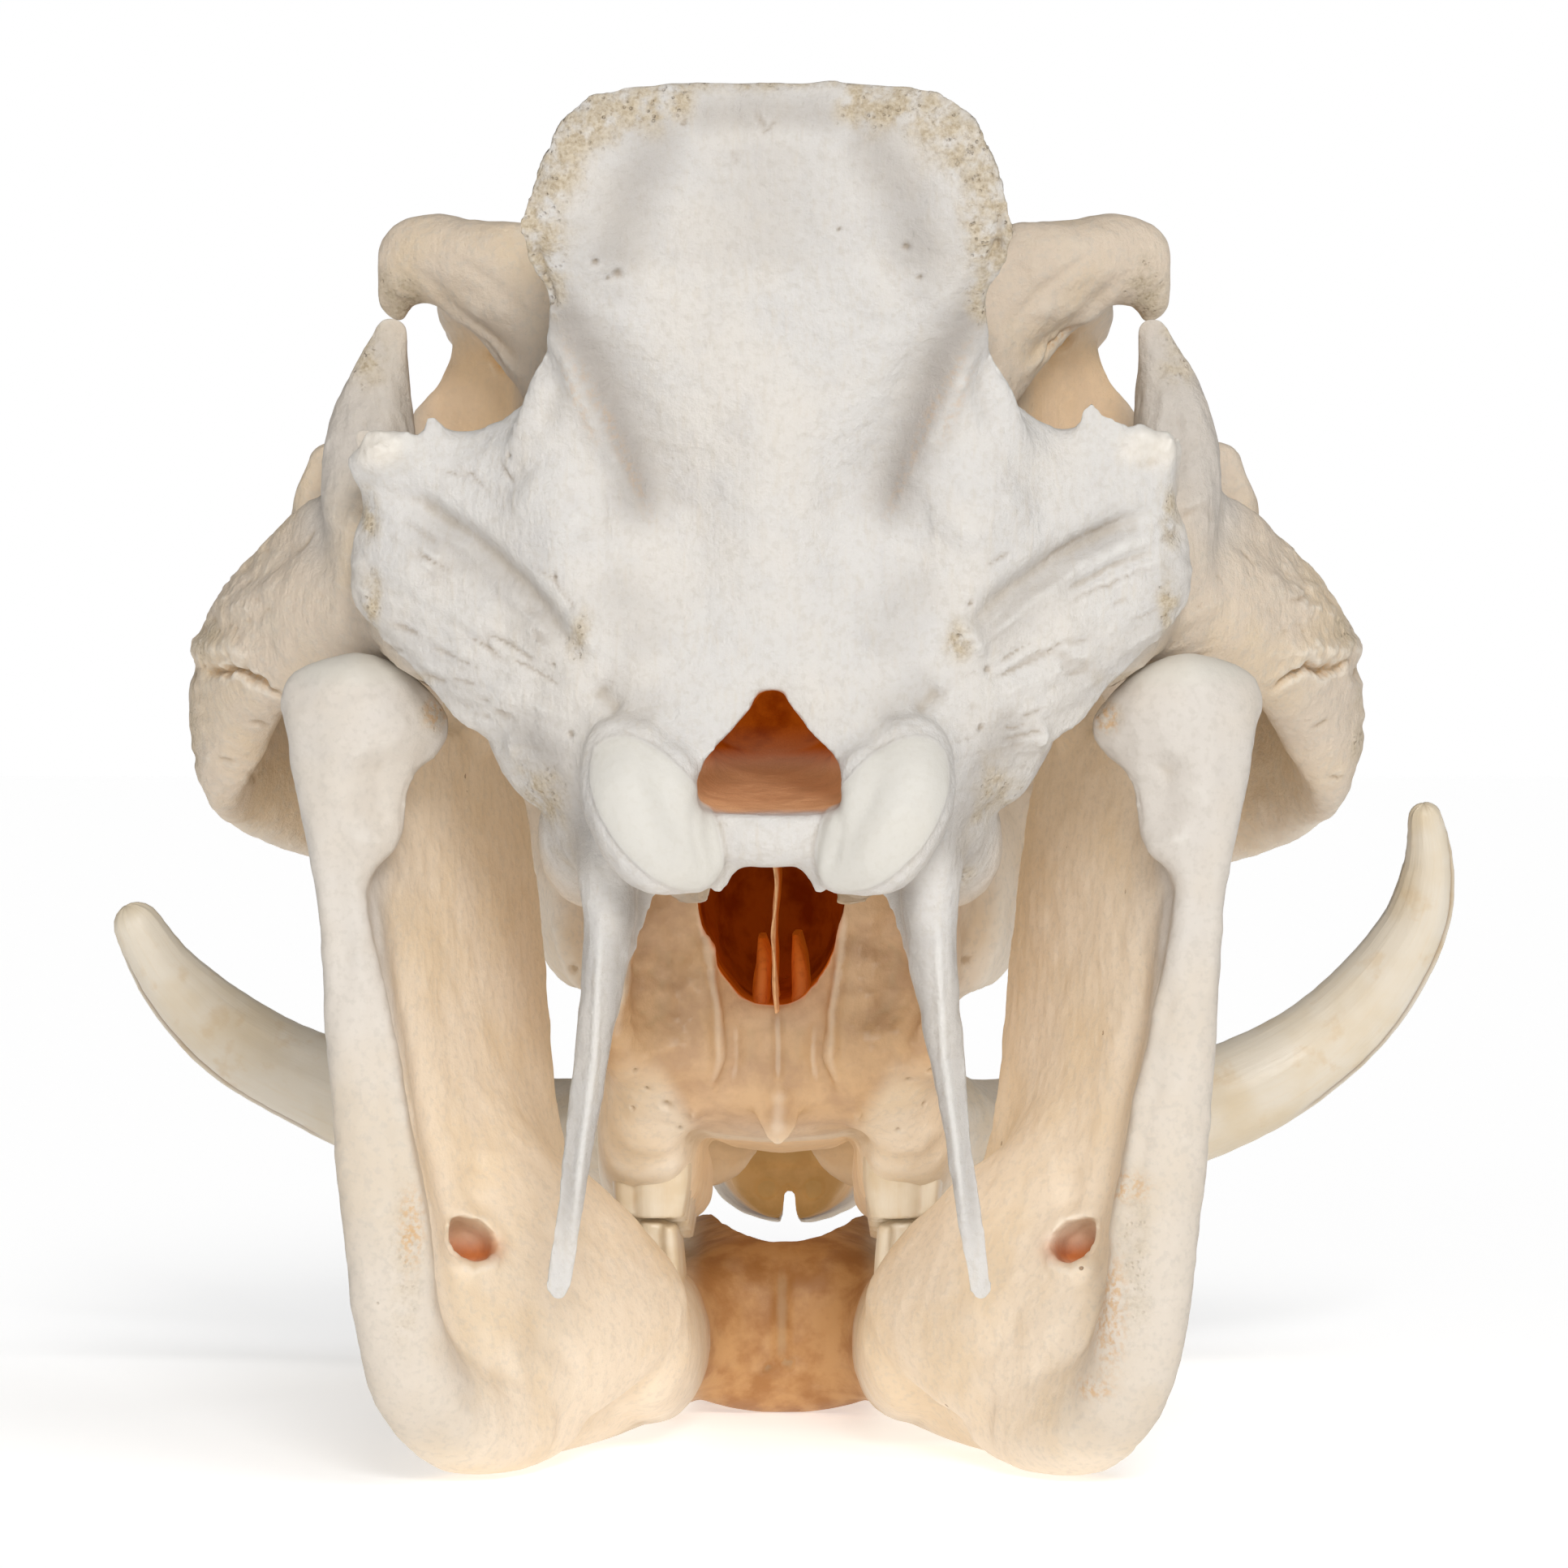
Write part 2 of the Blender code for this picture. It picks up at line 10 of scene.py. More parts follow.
import bmesh
import bpy
import numpy as np
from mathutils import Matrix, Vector


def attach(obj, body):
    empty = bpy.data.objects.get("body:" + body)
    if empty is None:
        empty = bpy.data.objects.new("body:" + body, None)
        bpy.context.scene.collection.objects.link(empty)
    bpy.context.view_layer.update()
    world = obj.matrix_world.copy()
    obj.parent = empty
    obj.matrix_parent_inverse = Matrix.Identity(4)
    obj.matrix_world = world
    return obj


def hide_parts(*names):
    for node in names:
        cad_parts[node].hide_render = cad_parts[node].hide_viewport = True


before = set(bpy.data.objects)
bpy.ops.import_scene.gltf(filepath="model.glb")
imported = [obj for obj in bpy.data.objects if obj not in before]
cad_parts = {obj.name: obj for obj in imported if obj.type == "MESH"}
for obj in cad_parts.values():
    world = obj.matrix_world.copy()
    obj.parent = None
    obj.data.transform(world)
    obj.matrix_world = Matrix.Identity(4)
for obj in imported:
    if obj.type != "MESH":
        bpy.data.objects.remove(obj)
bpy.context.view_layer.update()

MM = 0.001
MIDDLE_Y = 173.25
ACROSS = Vector((1, 0, 0))
FORWARD = Vector((0, 1, 0))
UP = Vector((0, 0, 1))
JOINT_GAP = 1.6
VOXEL = 1.2
TOOTH_VOXEL = 0.5
TOOTH_SLOPE = 0.14
FLOOR_GAP = 0.05
PIT_DEPTH = 1.2
SOFT_TIMES = 160
SMALL_DIP_TIMES = 5
LARGE_DIP_TIMES = 40


def curve_value(a, b, c, d, t):
    """Catmull-Rom between b and c."""
    bend = 2 * a - 5 * b + 4 * c - d
    twist = -a + 3 * b - 3 * c + d
    return b + 0.5 * t * ((c - a) + t * (bend + t * twist))


def smooth_rows(rows, steps):
    """More rows between the given ones, on a curve through all of them."""
    wide = [tuple(row) + (0.0,) * (6 - len(row)) for row in rows]
    last = len(wide) - 1
    found = []
    for i in range(last):
        near = (wide[max(i - 1, 0)], wide[i], wide[i + 1], wide[min(i + 2, last)])
        for k in range(steps):
            found.append([curve_value(*four, k / steps) for four in zip(*near)])
    found.append(list(wide[last]))
    return found


def frames(points, side, lift, along):
    """The direction of travel, of the half width and of the half height at each point."""
    found = []
    before = None
    for i, point in enumerate(points):
        ahead = points[min(i + 1, len(points) - 1)]
        behind = points[max(i - 1, 0)]
        travel = along or (ahead - behind).normalized()
        if side is not None:
            wide = (side - side.dot(travel) * travel).normalized()
            high = wide.cross(travel)
        else:
            high = (lift - lift.dot(travel) * travel).normalized()
            wide = travel.cross(high)
        if before is None:
            turned = high.dot(UP + 0.1 * FORWARD) < 0
        else:
            turned = high.dot(before) < 0
        if turned:
            high = -high
        before = high
        found.append((travel, wide, high))
    return found


def loft(rows, side=ACROSS, lift=None, along=None, sides=36, steps=5, power=2.0, cap=None):
    """A closed tube through the rows, with rounded ends."""
    if lift is not None:
        side = None
    path = smooth_rows(rows, steps)
    centres = [Vector(row[:3]) for row in path]
    axes = frames(centres, side, lift, along)
    stations = [(c, row[3], row[4], row[5], axis) for c, row, axis in zip(centres, path, axes)]

    def rounded(station, sign):
        centre, wide, high, bow, axis = station
        reach = min(wide, high) if cap is None else cap
        found = []
        for degrees in (20, 40, 58, 72, 84):
            turn = math.radians(degrees)
            shrink = math.cos(turn)
            moved = centre + axis[0] * (sign * reach * math.sin(turn))
            found.append((moved, wide * shrink, high * shrink, bow * shrink, axis))
        return found

    stations = rounded(stations[0], -1)[::-1] + stations + rounded(stations[-1], 1)
    points = []
    for centre, wide, high, bow, axis in stations:
        for k in range(sides):
            turn = 2 * math.pi * k / sides
            c = math.cos(turn)
            s = math.sin(turn)
            u = math.copysign(abs(c) ** (2 / power), c)
            v = math.copysign(abs(s) ** (2 / power), s)
            points.append(centre + axis[1] * (wide * u) + axis[2] * (high * v + bow * u * u))
    faces = []
    for ring in range(len(stations) - 1):
        for k in range(sides):
            a = ring * sides + k
            b = ring * sides + (k + 1) % sides
            faces.append((a, b, b + sides, a + sides))
    faces.append(tuple(range(sides))[::-1])
    faces.append(tuple(range(len(points) - sides, len(points))))
    return points, faces


def ball(x, y, z, rx, ry, rz):
    """An ellipsoid."""
    rows = []
    for degrees in (-80, -55, -30, 0, 30, 55, 80):
        turn = math.radians(degrees)
        rows.append((x, y + ry * math.sin(turn), z, rx * math.cos(turn), rz * math.cos(turn)))
    return loft(rows, along=FORWARD, steps=2, cap=0.2)


def mirrored(shape):
    points, faces = shape
    return [Vector((-p.x, p.y, p.z)) for p in points], [face[::-1] for face in faces]


def both(*shapes):
    """Each shape and its copy on the other side of the head."""
    return [half for shape in shapes for half in (shape, mirrored(shape))]


def added(name, data):
    """A new object in the scene."""
    obj = bpy.data.objects.new(name, data)
    bpy.context.scene.collection.objects.link(obj)
    return obj


def made(name, shapes):
    """One object that holds all these shapes."""
    points = []
    faces = []
    for some_points, some_faces in shapes:
        start = len(points)
        points += [(p - Vector((0, MIDDLE_Y, 0))) * MM for p in some_points]
        faces += [[start + i for i in face] for face in some_faces]
    mesh = bpy.data.meshes.new(name)
    mesh.from_pydata(points, [], faces)
    obj = added(name, mesh)
    outward(obj)
    return obj


def outward(obj):
    """Turns the faces of every closed shell outward."""
    work = bmesh.new()
    work.from_mesh(obj.data)
    bmesh.ops.recalc_face_normals(work, faces=work.faces)
    work.to_mesh(obj.data)
    work.free()


def apply_modifiers(obj):
    graph = bpy.context.evaluated_depsgraph_get()
    before = obj.data
    obj.data = bpy.data.meshes.new_from_object(obj.evaluated_get(graph))
    obj.modifiers.clear()
    bpy.data.meshes.remove(before)


def melt(obj, voxel):
    """Makes overlapping shapes one surface."""
    remesh = obj.modifiers.new("melt", "REMESH")
    remesh.mode = "VOXEL"
    remesh.voxel_size = voxel * MM
    apply_modifiers(obj)


def cut_away(obj, cutter):
    """Cuts one object from another and removes it."""
    cut = obj.modifiers.new("cut", "BOOLEAN")
    cut.operation = "DIFFERENCE"
    cut.solver = "MANIFOLD"
    cut.object = cutter
    apply_modifiers(obj)
    bpy.data.objects.remove(cutter)


def read(items, name, width, kind=np.float32):
    """One property of every item of a mesh, a row for each."""
    found = np.empty(len(items) * width, kind)
    items.foreach_get(name, found)
    return found.reshape(-1, width)


def keep_largest(obj):
    """Drops every closed surface but the one with the most vertices."""
    mesh = obj.data
    edges = read(mesh.edges, "vertices", 2, np.int32)
    label = np.arange(len(mesh.vertices))
    while True:
        low = np.minimum(label[edges[:, 0]], label[edges[:, 1]])
        before = label.copy()
        np.minimum.at(label, edges[:, 0], low)
        np.minimum.at(label, edges[:, 1], low)
        label = label[label]
        if np.array_equal(before, label):
            break
    names, counts = np.unique(label, return_counts=True)
    drop = label != names[counts.argmax()]
    if not drop.any():
        return
    work = bmesh.new()
    work.from_mesh(mesh)
    work.verts.ensure_lookup_table()
    bmesh.ops.delete(work, geom=[work.verts[i] for i in np.flatnonzero(drop)], context="VERTS")
    work.to_mesh(mesh)
    work.free()


# Points of a mesh as arrays in millimetres
def points_of(obj):
    return read(obj.data.vertices, "co", 3).astype(float) / MM + (0, MIDDLE_Y, 0)


def set_points(obj, points):
    flat = ((points - (0, MIDDLE_Y, 0)) * MM).astype(np.float32)
    obj.data.vertices.foreach_set("co", flat.ravel())
    obj.data.update()


def normals_of(obj):
    return read(obj.data.vertex_normals, "vector", 3).astype(float)


class Web:
    """The edges of a mesh, for averages over neighbours."""

    def __init__(self, obj):
        edges = read(obj.data.edges, "vertices", 2, np.int32)
        self.one, self.other = edges.T
        self.count = len(obj.data.vertices)
        self.degree = np.maximum(np.bincount(edges.ravel(), minlength=self.count), 1)

    def average(self, values):
        total = np.bincount(self.one, values[self.other], self.count)
        total += np.bincount(self.other, values[self.one], self.count)
        return total / self.degree

    def relaxed(self, points, times, strength=0.5):
        """Points moved towards their neighbours' average that many times."""
        points = points.copy()
        for turn in range(times):
            for axis in range(3):
                column = points[:, axis]
                points[:, axis] = column + strength * (self.average(column) - column)
        return points

    def ironed(self, points, times):
        """Smoother points that keep their volume."""
        for turn in range(times):
            points = self.relaxed(points, 1, 0.5)
            points = self.relaxed(points, 1, -0.52)
        return points

    def blurred(self, values, times):
        for turn in range(times):
            values = 0.5 * values + 0.5 * self.average(values)
        return values


# Noise
def lattice(cells, seed):
    """A fixed number from -1 to 1 for every cell of a grid."""
    mixed = cells[:, 0] * 73856093 ^ cells[:, 1] * 19349663 ^ cells[:, 2] * 83492791 ^ seed * 2654435761
    mixed = (mixed ^ (mixed >> 13)) * 1274126177
    mixed = (mixed ^ (mixed >> 16)) & 0xFFFFFF
    return mixed / 0x7FFFFF - 1.0


def noise(points, size, seed):
    """Smooth noise from -1 to 1 with lumps of that size."""
    place = points / size + 1000.0
    cell = np.floor(place).astype(np.int64)
    part = place - cell
    part = part * part * (3 - 2 * part)
    total = np.zeros(len(points))
    for corner in range(8):
        step = np.array((corner & 1, corner >> 1 & 1, corner >> 2))
        weight = np.prod(np.where(step, part, 1 - part), axis=1)
        total += weight * lattice(cell + step, seed)
    return total


def rough_noise(points, size, seed, layers=3):
    """Noise with finer and finer lumps."""
    total = np.zeros(len(points))
    for k in range(layers):
        total += noise(points, size / 2 ** k, seed + k) / 2 ** k
    return total


def rise(values, low, high):
    """0 below low, 1 above high and smooth between."""
    t = np.clip((values - low) / (high - low), 0, 1)
    return t * t * (3 - 2 * t)


def fall(values, low, high):
    """1 below low, 0 above high and smooth between."""
    return 1 - rise(values, low, high)


def bump(points, centre, radii):
    """1 at the centre of an ellipsoid, falling to 0 at about twice its radii."""
    away = ((points - centre) / radii) ** 2
    return np.exp(-away.sum(axis=1))


def away_from(points, path, limit):
    """How far each point is from a line through the given places, and how far along it."""
    path = np.array(path, float)
    found = np.full(len(points), 1e3)
    along = np.zeros(len(points))
    near = ((points > path.min(axis=0) - limit) & (points < path.max(axis=0) + limit)).all(axis=1)
    near = np.flatnonzero(near)
    here = points[near]
    best = np.full(len(near), 1e3)
    where = np.zeros(len(near))
    done = 0.0
    for start, stop in zip(path[:-1], path[1:]):
        span = stop - start
        length = math.sqrt(span @ span)
        t = np.clip((here - start) @ span / (length * length), 0, 1)
        gone = np.sqrt(((here - start - t[:, None] * span) ** 2).sum(axis=1))
        closer = gone < best
        best = np.where(closer, gone, best)
        where = np.where(closer, done + t * length, where)
        done += length
    found[near] = best
    along[near] = where / done
    return found, along


def both_ways(path):
    """A path and its copy on the other side of the head."""
    return path, [(-place[0], *place[1:]) for place in path]


# Back of the head
def occiput():
    plate = loft([
        (0, 17, 122, 30, 12, 0), (0, 20, 135, 38, 13, 0), (0, 24, 150, 46, 13, 2),
        (0, 28, 165, 50, 12, 0), (0, 28, 180, 50, 12, -3), (0, 25, 190, 47, 12, -5),
        (0, 22, 200, 43, 12, -6), (0, 20, 206, 39.6, 12, -7), (0, 18, 212, 38.8, 11, -8),
        (0, 16, 217, 39.4, 10.5, -8.5), (0, 14, 221.5, 42.4, 10, -10), (0, 12, 228, 43.6, 9, -14),
        (0, 8, 238, 40.2, 7, -8), (0, 5, 246, 36.4, 6, -6), (0, 3.5, 250.5, 32, 4, -4),
    ], along=UP, sides=32, cap=3)
    wing = loft([
        (30, 20, 165, 8, 45), (36, 21, 164, 8, 41), (43, 24, 163.5, 7.5, 34.5), (50, 27, 165, 7, 28.7),
        (56, 29, 166.5, 6.5, 26.5), (60, 30, 169, 6, 24), (64.5, 31, 170, 5.5, 20),
        (70, 33, 171, 5, 16), (74, 35, 168, 4, 8),
    ], side=FORWARD, along=ACROSS, sides=24, cap=1.5)
    pillar = loft([
        (0, 17, 150, 15, 7), (0, 20, 170, 13, 8), (0, 18, 190, 12, 7), (0, 12, 210, 9, 5),
    ])
    ridge = loft([
        (20, 19, 150, 9, 7), (30, 21, 165, 8, 7), (35, 22, 180, 6, 6), (36.5, 21, 196, 4, 4),
    ])
    return [plate, pillar] + both(wing, ridge)


def braincase():
    case = loft([
        (0, 24, 180, 34, 56), (0, 45, 178, 36, 60), (0, 70, 176, 34, 58), (0, 95, 172, 36, 54),
        (0, 115, 158, 38, 60),
    ], along=FORWARD, power=2.4, sides=28, cap=2)
    roof = loft([
        (0, 5, 243, 34, 7), (0, 25, 240, 37, 11), (0, 45, 234, 37, 12), (0, 60, 221, 42, 9),
        (0, 76, 218.5, 58, 11), (0, 90, 216, 63, 11), (0, 102, 212.5, 62, 11), (0, 113, 207, 57, 12),
        (0, 125, 200, 53, 13), (0, 142, 189, 44, 13), (0, 162, 176, 33, 12),
    ], along=FORWARD, power=2.5, sides=28, cap=3)
    base = loft([
        (0, 8, 120, 14, 5.2), (0, 25, 123.5, 15, 8.5), (0, 45, 127.5, 17, 12), (0, 65, 129, 18, 13.5),
        (0, 85, 131, 20, 15),
    ], along=FORWARD, cap=3)
    bulla = loft([
        (31, 30, 125, 9, 12), (32, 40, 118, 10, 12), (30, 52, 118, 9, 11), (26, 64, 120, 7, 10),
    ], along=FORWARD)
    side_wall = loft([
        (40, 30, 150, 12, 26), (44, 45, 158, 13, 22), (40, 60, 160, 11, 20), (34, 75, 160, 9, 20),
    ], along=FORWARD)
    return [case, roof, base] + both(bulla, side_wall)


def condyles():
    knob = loft([
        (25, 10, 134, 8, 8), (25, 7, 126, 9, 8), (20, 6, 117, 8, 7), (13, 7, 114.5, 4.5, 4.5),
    ], side=FORWARD)
    face = loft([
        (18.6, 7.8, 131, 6.2, 6.4), (17, 6.6, 124, 6.2, 6.4), (14.4, 6.9, 117.5, 5.2, 5),
    ], side=FORWARD)
    process = loft([
        (32, 27, 142, 8, 10), (29.5, 26, 128, 7, 10), (28.8, 25, 114, 5.6, 9),
        (28.8, 25, 102.6, 4.8, 8), (30.7, 25, 88, 3.6, 6.5), (32.8, 25, 73.5, 2.8, 5),
        (34.8, 24, 59, 2.4, 3.8), (37, 24, 44.4, 2.2, 3), (37.9, 24, 38.2, 2, 2.4),
    ], cap=2)
    return both(knob, face, process)


# Sides of the head
def cheek_arch():
    body = ball(60, 46, 165, 14, 16, 20)
    peak = loft([
        (77, 62, 152, 4, 8), (75, 60, 163, 6.5, 12), (73.6, 60, 174, 7.8, 15), (73.5, 60, 186, 8.4, 13),
        (72.7, 60, 197, 7, 9), (70.6, 59, 206, 4.4, 5), (69, 58.5, 211.5, 2.8, 3),
    ], steps=4, cap=1.6)
    corner = loft([
        (50, 92, 178, 16, 5), (51.5, 91, 189, 16.5, 5), (51, 91, 196.5, 16.5, 5),
        (50, 91, 202, 13.8, 5), (50, 91, 206, 11.4, 5), (48, 91, 210, 12, 5),
    ], along=UP, power=3, cap=2)
    arch = loft([
        (66, 50, 162, 7, 12), (80, 60, 160, 7, 13), (92, 74, 156, 7, 14), (98.5, 88, 149, 7.5, 15),
        (103, 102, 140.5, 7, 18), (98.5, 120, 135.5, 7, 18.5), (87, 134, 131, 8, 19.5),
        (71, 146, 128.5, 9, 21.5), (54, 156, 127, 9, 24), (40, 164, 122, 8, 22),
    ], lift=UP, sides=22, steps=4)
    brow = loft([
        (72, 58, 172, 6, 10), (82, 67, 171, 6, 10), (90.5, 79, 164, 6, 10), (99, 88, 154, 6, 10),
    ], lift=UP)
    knob = ball(100.5, 91, 149, 7, 10, 9)
    rear_rim = loft([
        (98, 98, 150, 6, 8), (90, 95, 163, 6, 9), (85.6, 93, 173, 5.4, 9), (84.4, 91, 181, 5.2, 9),
        (82.4, 90, 187, 4.4, 7),
    ], along=UP, cap=4)
    return both(body, peak, corner, arch, brow, knob, rear_rim)


def orbits():
    rim = loft([
        (66, 76, 226, 5, 5), (68, 88, 226, 5, 5), (63.5, 100, 224, 5, 5), (57, 112, 219, 5, 6),
        (54.5, 121, 208, 6, 6), (55, 126, 196, 6, 6), (62, 124, 186, 6, 6), (73, 115, 180, 5, 6),
        (79, 104, 178, 5, 6), (81, 96, 179, 5, 6),
    ])
    hook = loft([
        (46, 64, 223, 9, 8), (56, 68, 223.5, 8, 8), (62, 71, 224.5, 7.5, 8.2), (66, 73, 223.8, 7, 7.8),
    ], side=FORWARD, cap=7)
    hook_tip = loft([
        (68.6, 74, 220, 5.4, 4.6), (69.6, 75, 216.4, 3.8, 3.2), (69.2, 75, 214.4, 2.4, 1.6),
    ], side=FORWARD)
    beam = loft([
        (32, 54, 198, 7, 10), (42, 62, 209, 7, 9), (52, 68, 219, 7, 8), (62, 72, 226, 6, 6),
    ], side=FORWARD)
    wall = loft([
        (34, 62, 200, 8, 24), (41, 76, 200, 7, 24), (45, 92, 197, 7, 26), (49, 108, 190, 8, 27),
        (52, 120, 180, 9, 26),
    ], along=FORWARD)
    cheek = loft([
        (62, 116, 164, 12, 20), (58, 130, 153, 14, 24), (49, 146, 141, 13, 27), (41, 162, 130, 11, 27),
        (34, 184, 116, 8, 22), (29, 206, 102, 6, 16),
    ], along=FORWARD)
    jaw_side = loft([
        (37, 128, 106, 7, 20), (39.5, 142, 107, 8.5, 21), (39.5, 160, 104, 8.5, 20),
        (36, 184, 99, 6, 17), (31, 205, 93, 6, 15), (26, 226, 87, 6, 13),
    ], along=FORWARD)
    return both(rim, hook, hook_tip, beam, wall, cheek, jaw_side)


# Snout and upper jaw
def snout():
    tops = (
        (110, 220, 84, 42), (130, 212, 62, 40), (150, 202, 57, 37), (175, 188, 53, 33),
        (200, 173, 52, 30), (225, 158, 51, 29), (250, 144, 50, 30), (275, 129, 48, 31),
        (300, 114, 44, 29), (320, 99, 38, 25), (335, 86, 35, 20), (344, 76, 36, 14),
    )
    rows = [(0, y, (top + foot) / 2, wide, (top - foot) / 2) for y, top, foot, wide in tops]
    rostrum = loft(rows, along=FORWARD, power=2.6, sides=28, cap=4)
    socket = loft([
        (18, 226, 60, 16, 18), (31, 246, 52, 17, 12.8), (45, 259, 50.5, 16, 12.6),
        (56, 267, 50.5, 14, 13),
    ], lift=UP, cap=2)
    lip = loft([
        (0, 294, 45, 12.6, 13.6), (0, 300, 44, 14, 13.4), (0, 325, 40.5, 17.5, 12),
        (0, 338, 37, 16.5, 10), (0, 346, 36, 13, 8),
    ], along=FORWARD, cap=2)
    jaw_edge = loft([
        (25, 114, 66, 8, 13.5), (25, 126, 64, 9.5, 16), (25, 145, 59, 10, 16), (24.5, 168, 53, 9.5, 12),
        (23, 190, 47, 9, 9), (22, 215, 45, 8, 7),
    ], along=FORWARD, power=3.2, cap=3)
    return [rostrum, lip] + both(socket, jaw_edge)


def throat():
    """The bone between the brain case and the palate."""
    plate = loft([
        (27, 66, 114, 3.5, 7), (29, 78, 100, 3.5, 8), (29, 90, 86, 4, 9), (25, 104, 72, 7, 9),
        (24, 112, 64, 8, 8),
    ])
    palate = loft([
        (0, 98, 73, 16, 7), (0, 108, 69, 21, 8), (0, 120, 67, 25, 8), (0, 132, 66, 26, 8),
    ], along=FORWARD, cap=2)
    inner = loft([
        (0, 84, 121, 26, 20), (0, 96, 112, 30, 32), (0, 110, 107, 34, 40), (0, 125, 105, 36, 41),
    ], along=FORWARD, power=3, cap=3)
    spine = loft([
        (0, 100, 76, 2.5, 3), (0, 110, 69, 3.5, 3), (0, 119, 62, 2.5, 3),
    ])
    kite = loft([
        (0.3, 97, 60, 1, 2), (0.7, 96.5, 63.5, 3.6, 2), (0.1, 96.5, 67.5, 4.4, 2),
        (0.6, 96.8, 71, 3, 2), (0.4, 97.4, 75, 1.6, 2),
    ], along=UP, power=3, cap=1)
    return [palate, inner, spine, kite] + both(plate)


def cranium_hollows():
    nerve_hole = loft([
        (0.5, 3, 124.8, 13, 11), (0.5, 8, 126.3, 13.5, 16), (0.5, 14, 128, 13.6, 22),
        (0.5, 20, 130, 13.5, 28), (0.5, 22, 133.2, 12.4, 30), (0.5, 22, 136, 10, 30),
        (0.5, 22, 139, 7, 30), (0.5, 22, 141.5, 4.9, 30), (0.5, 22, 143.6, 3.2, 30),
        (0.5, 22, 145.4, 2.6, 30),
    ], along=UP, power=3, cap=1)
    brain_room = ball(0, 52, 150, 20, 25, 20)
    breath = loft([
        (-0.5, 100, 88, 6, 40), (-0.5, 100, 92, 9.5, 40), (-0.5, 100, 98, 12.5, 40),
        (-0.5, 100, 105, 14, 40), (-0.5, 100, 110, 13.5, 40), (-0.5, 100, 114, 10, 40),
    ], along=UP, power=3, cap=2)
    nose = loft([
        (0, 268, 88, 10, 10), (0, 300, 80, 15, 15), (0, 330, 70, 15, 18), (0, 356, 64, 14, 20),
    ], along=FORWARD, power=2.6)
    front_slit = loft([
        (0.1, 284, 32.4, 1.35, 6.8), (-0.35, 322, 30.4, 1.6, 8.4), (-0.8, 362, 27.6, 2.1, 11.4),
    ], along=FORWARD, cap=1)
    lip_hollows = [ball(-4.6, 291, 37.4, 3.6, 3.4, 2.5), ball(5, 291, 37.4, 3.4, 3.4, 2.5)]
    middle = [nerve_hole, brain_room, breath, nose, front_slit]
    return middle + lip_hollows + both(jaw_condyle(JOINT_GAP))


# Lower jaw
def jaw_condyle(grown=0.0):
    """The knob of the jaw joint, or the hollow it moves in when it is grown."""
    rows = ((65, 45, 136.5, 5, 8), (69, 45, 141, 8, 8), (76, 45, 144, 8.5, 8), (82, 46, 143, 7, 7.5))
    return loft([(x, y, z, a + grown, b + grown) for x, y, z, a, b in rows], side=FORWARD)


def lower_jaw():
    condyle = jaw_condyle()
    rear_edge = loft([
        (81, 45, 140, 7, 7.5), (80.5, 45, 130, 6, 7), (79.2, 45, 119, 5, 7), (77.9, 45, 110, 4.6, 7),
        (76.7, 44, 98, 4.8, 7), (75, 43, 86, 5.7, 7), (72.6, 42, 70, 7, 7), (70, 43, 52, 7.8, 8),
        (68.2, 45, 34, 7.8, 9), (64.4, 50, 20, 8.5, 9.5), (57, 60, 12, 9, 10), (50, 76, 10, 10, 9.5),
    ], power=2.6)
    rear_face = loft([
        (73, 43, 141, 12.5, 7), (75, 42.5, 130, 10.2, 6), (74.5, 43, 121, 8, 6),
        (76.6, 43.6, 116, 5.8, 6), (77.6, 44, 110, 4.6, 6), (77.4, 44, 104, 4.2, 6),
    ], cap=2)
    inward = Vector((-0.37, 0.93, 0))
    ramus = loft([
        (64.5, 73, 140, 30, 3.6), (63.2, 76.8, 128, 36.8, 3.4), (61.5, 80.3, 112, 39.9, 3.4),
        (59.8, 82.2, 90, 41.4, 3.4), (58, 83, 65, 40.5, 4.2), (53, 89, 42, 42, 6), (50, 90, 24, 40, 8),
    ], side=inward, along=UP, power=3, sides=28)
    coronoid = loft([
        (57, 90, 138, 9, 4.5), (55.5, 94, 146, 5.5, 3.5), (55, 95, 152, 2.5, 2.5),
    ], side=inward)
    body_rows = []
    for x, y, top, wide in (
        (56, 72, 44, 11), (50, 90, 40, 13), (42, 112, 37, 14), (35, 135, 35, 14),
        (30, 160, 32, 13), (26, 185, 30.5, 12), (22, 205, 31, 12), (19, 232, 30, 10),
    ):
        body_rows.append((x, y, top / 2 + 0.4, wide, top / 2))
    body = loft(body_rows, along=FORWARD, sides=22)
    tooth_ridge = loft([
        (26, 114, 22, 10, 14), (25, 135, 19, 10, 15), (24, 160, 17, 10, 15), (23, 188, 17, 10, 14),
    ], along=FORWARD)
    chin = loft([
        (0, 188, 17.5, 22, 17.5), (0, 212, 17.5, 26, 18), (0, 238, 18, 29, 18.5),
        (0, 265, 19.5, 33, 16), (0, 290, 20, 33, 11.8), (0, 310, 20.5, 29, 7.5), (0, 322, 20.5, 24, 5),
    ], along=FORWARD, power=2.5, sides=26, cap=4)
    socket = loft([
        (24, 262, 18, 11, 11), (34, 274, 22, 11.5, 12), (41, 284, 27, 11, 11.5),
    ], lift=UP, cap=2)
    return [chin] + both(condyle, rear_edge, rear_face, ramus, coronoid, body, tooth_ridge, socket)


def lower_jaw_hollows():
    trough = loft([
        (0, 196, 46, 15, 12), (0, 250, 40, 16, 12), (0, 300, 35, 18, 12), (0, 340, 33, 18, 13),
    ], along=FORWARD)
    nerve_entry = loft([
        (49.5, 52, 50, 5, 4.2), (53, 61, 46, 5.4, 4.4), (58, 72, 41.5, 4.8, 4),
    ])
    return [trough] + both(nerve_entry)


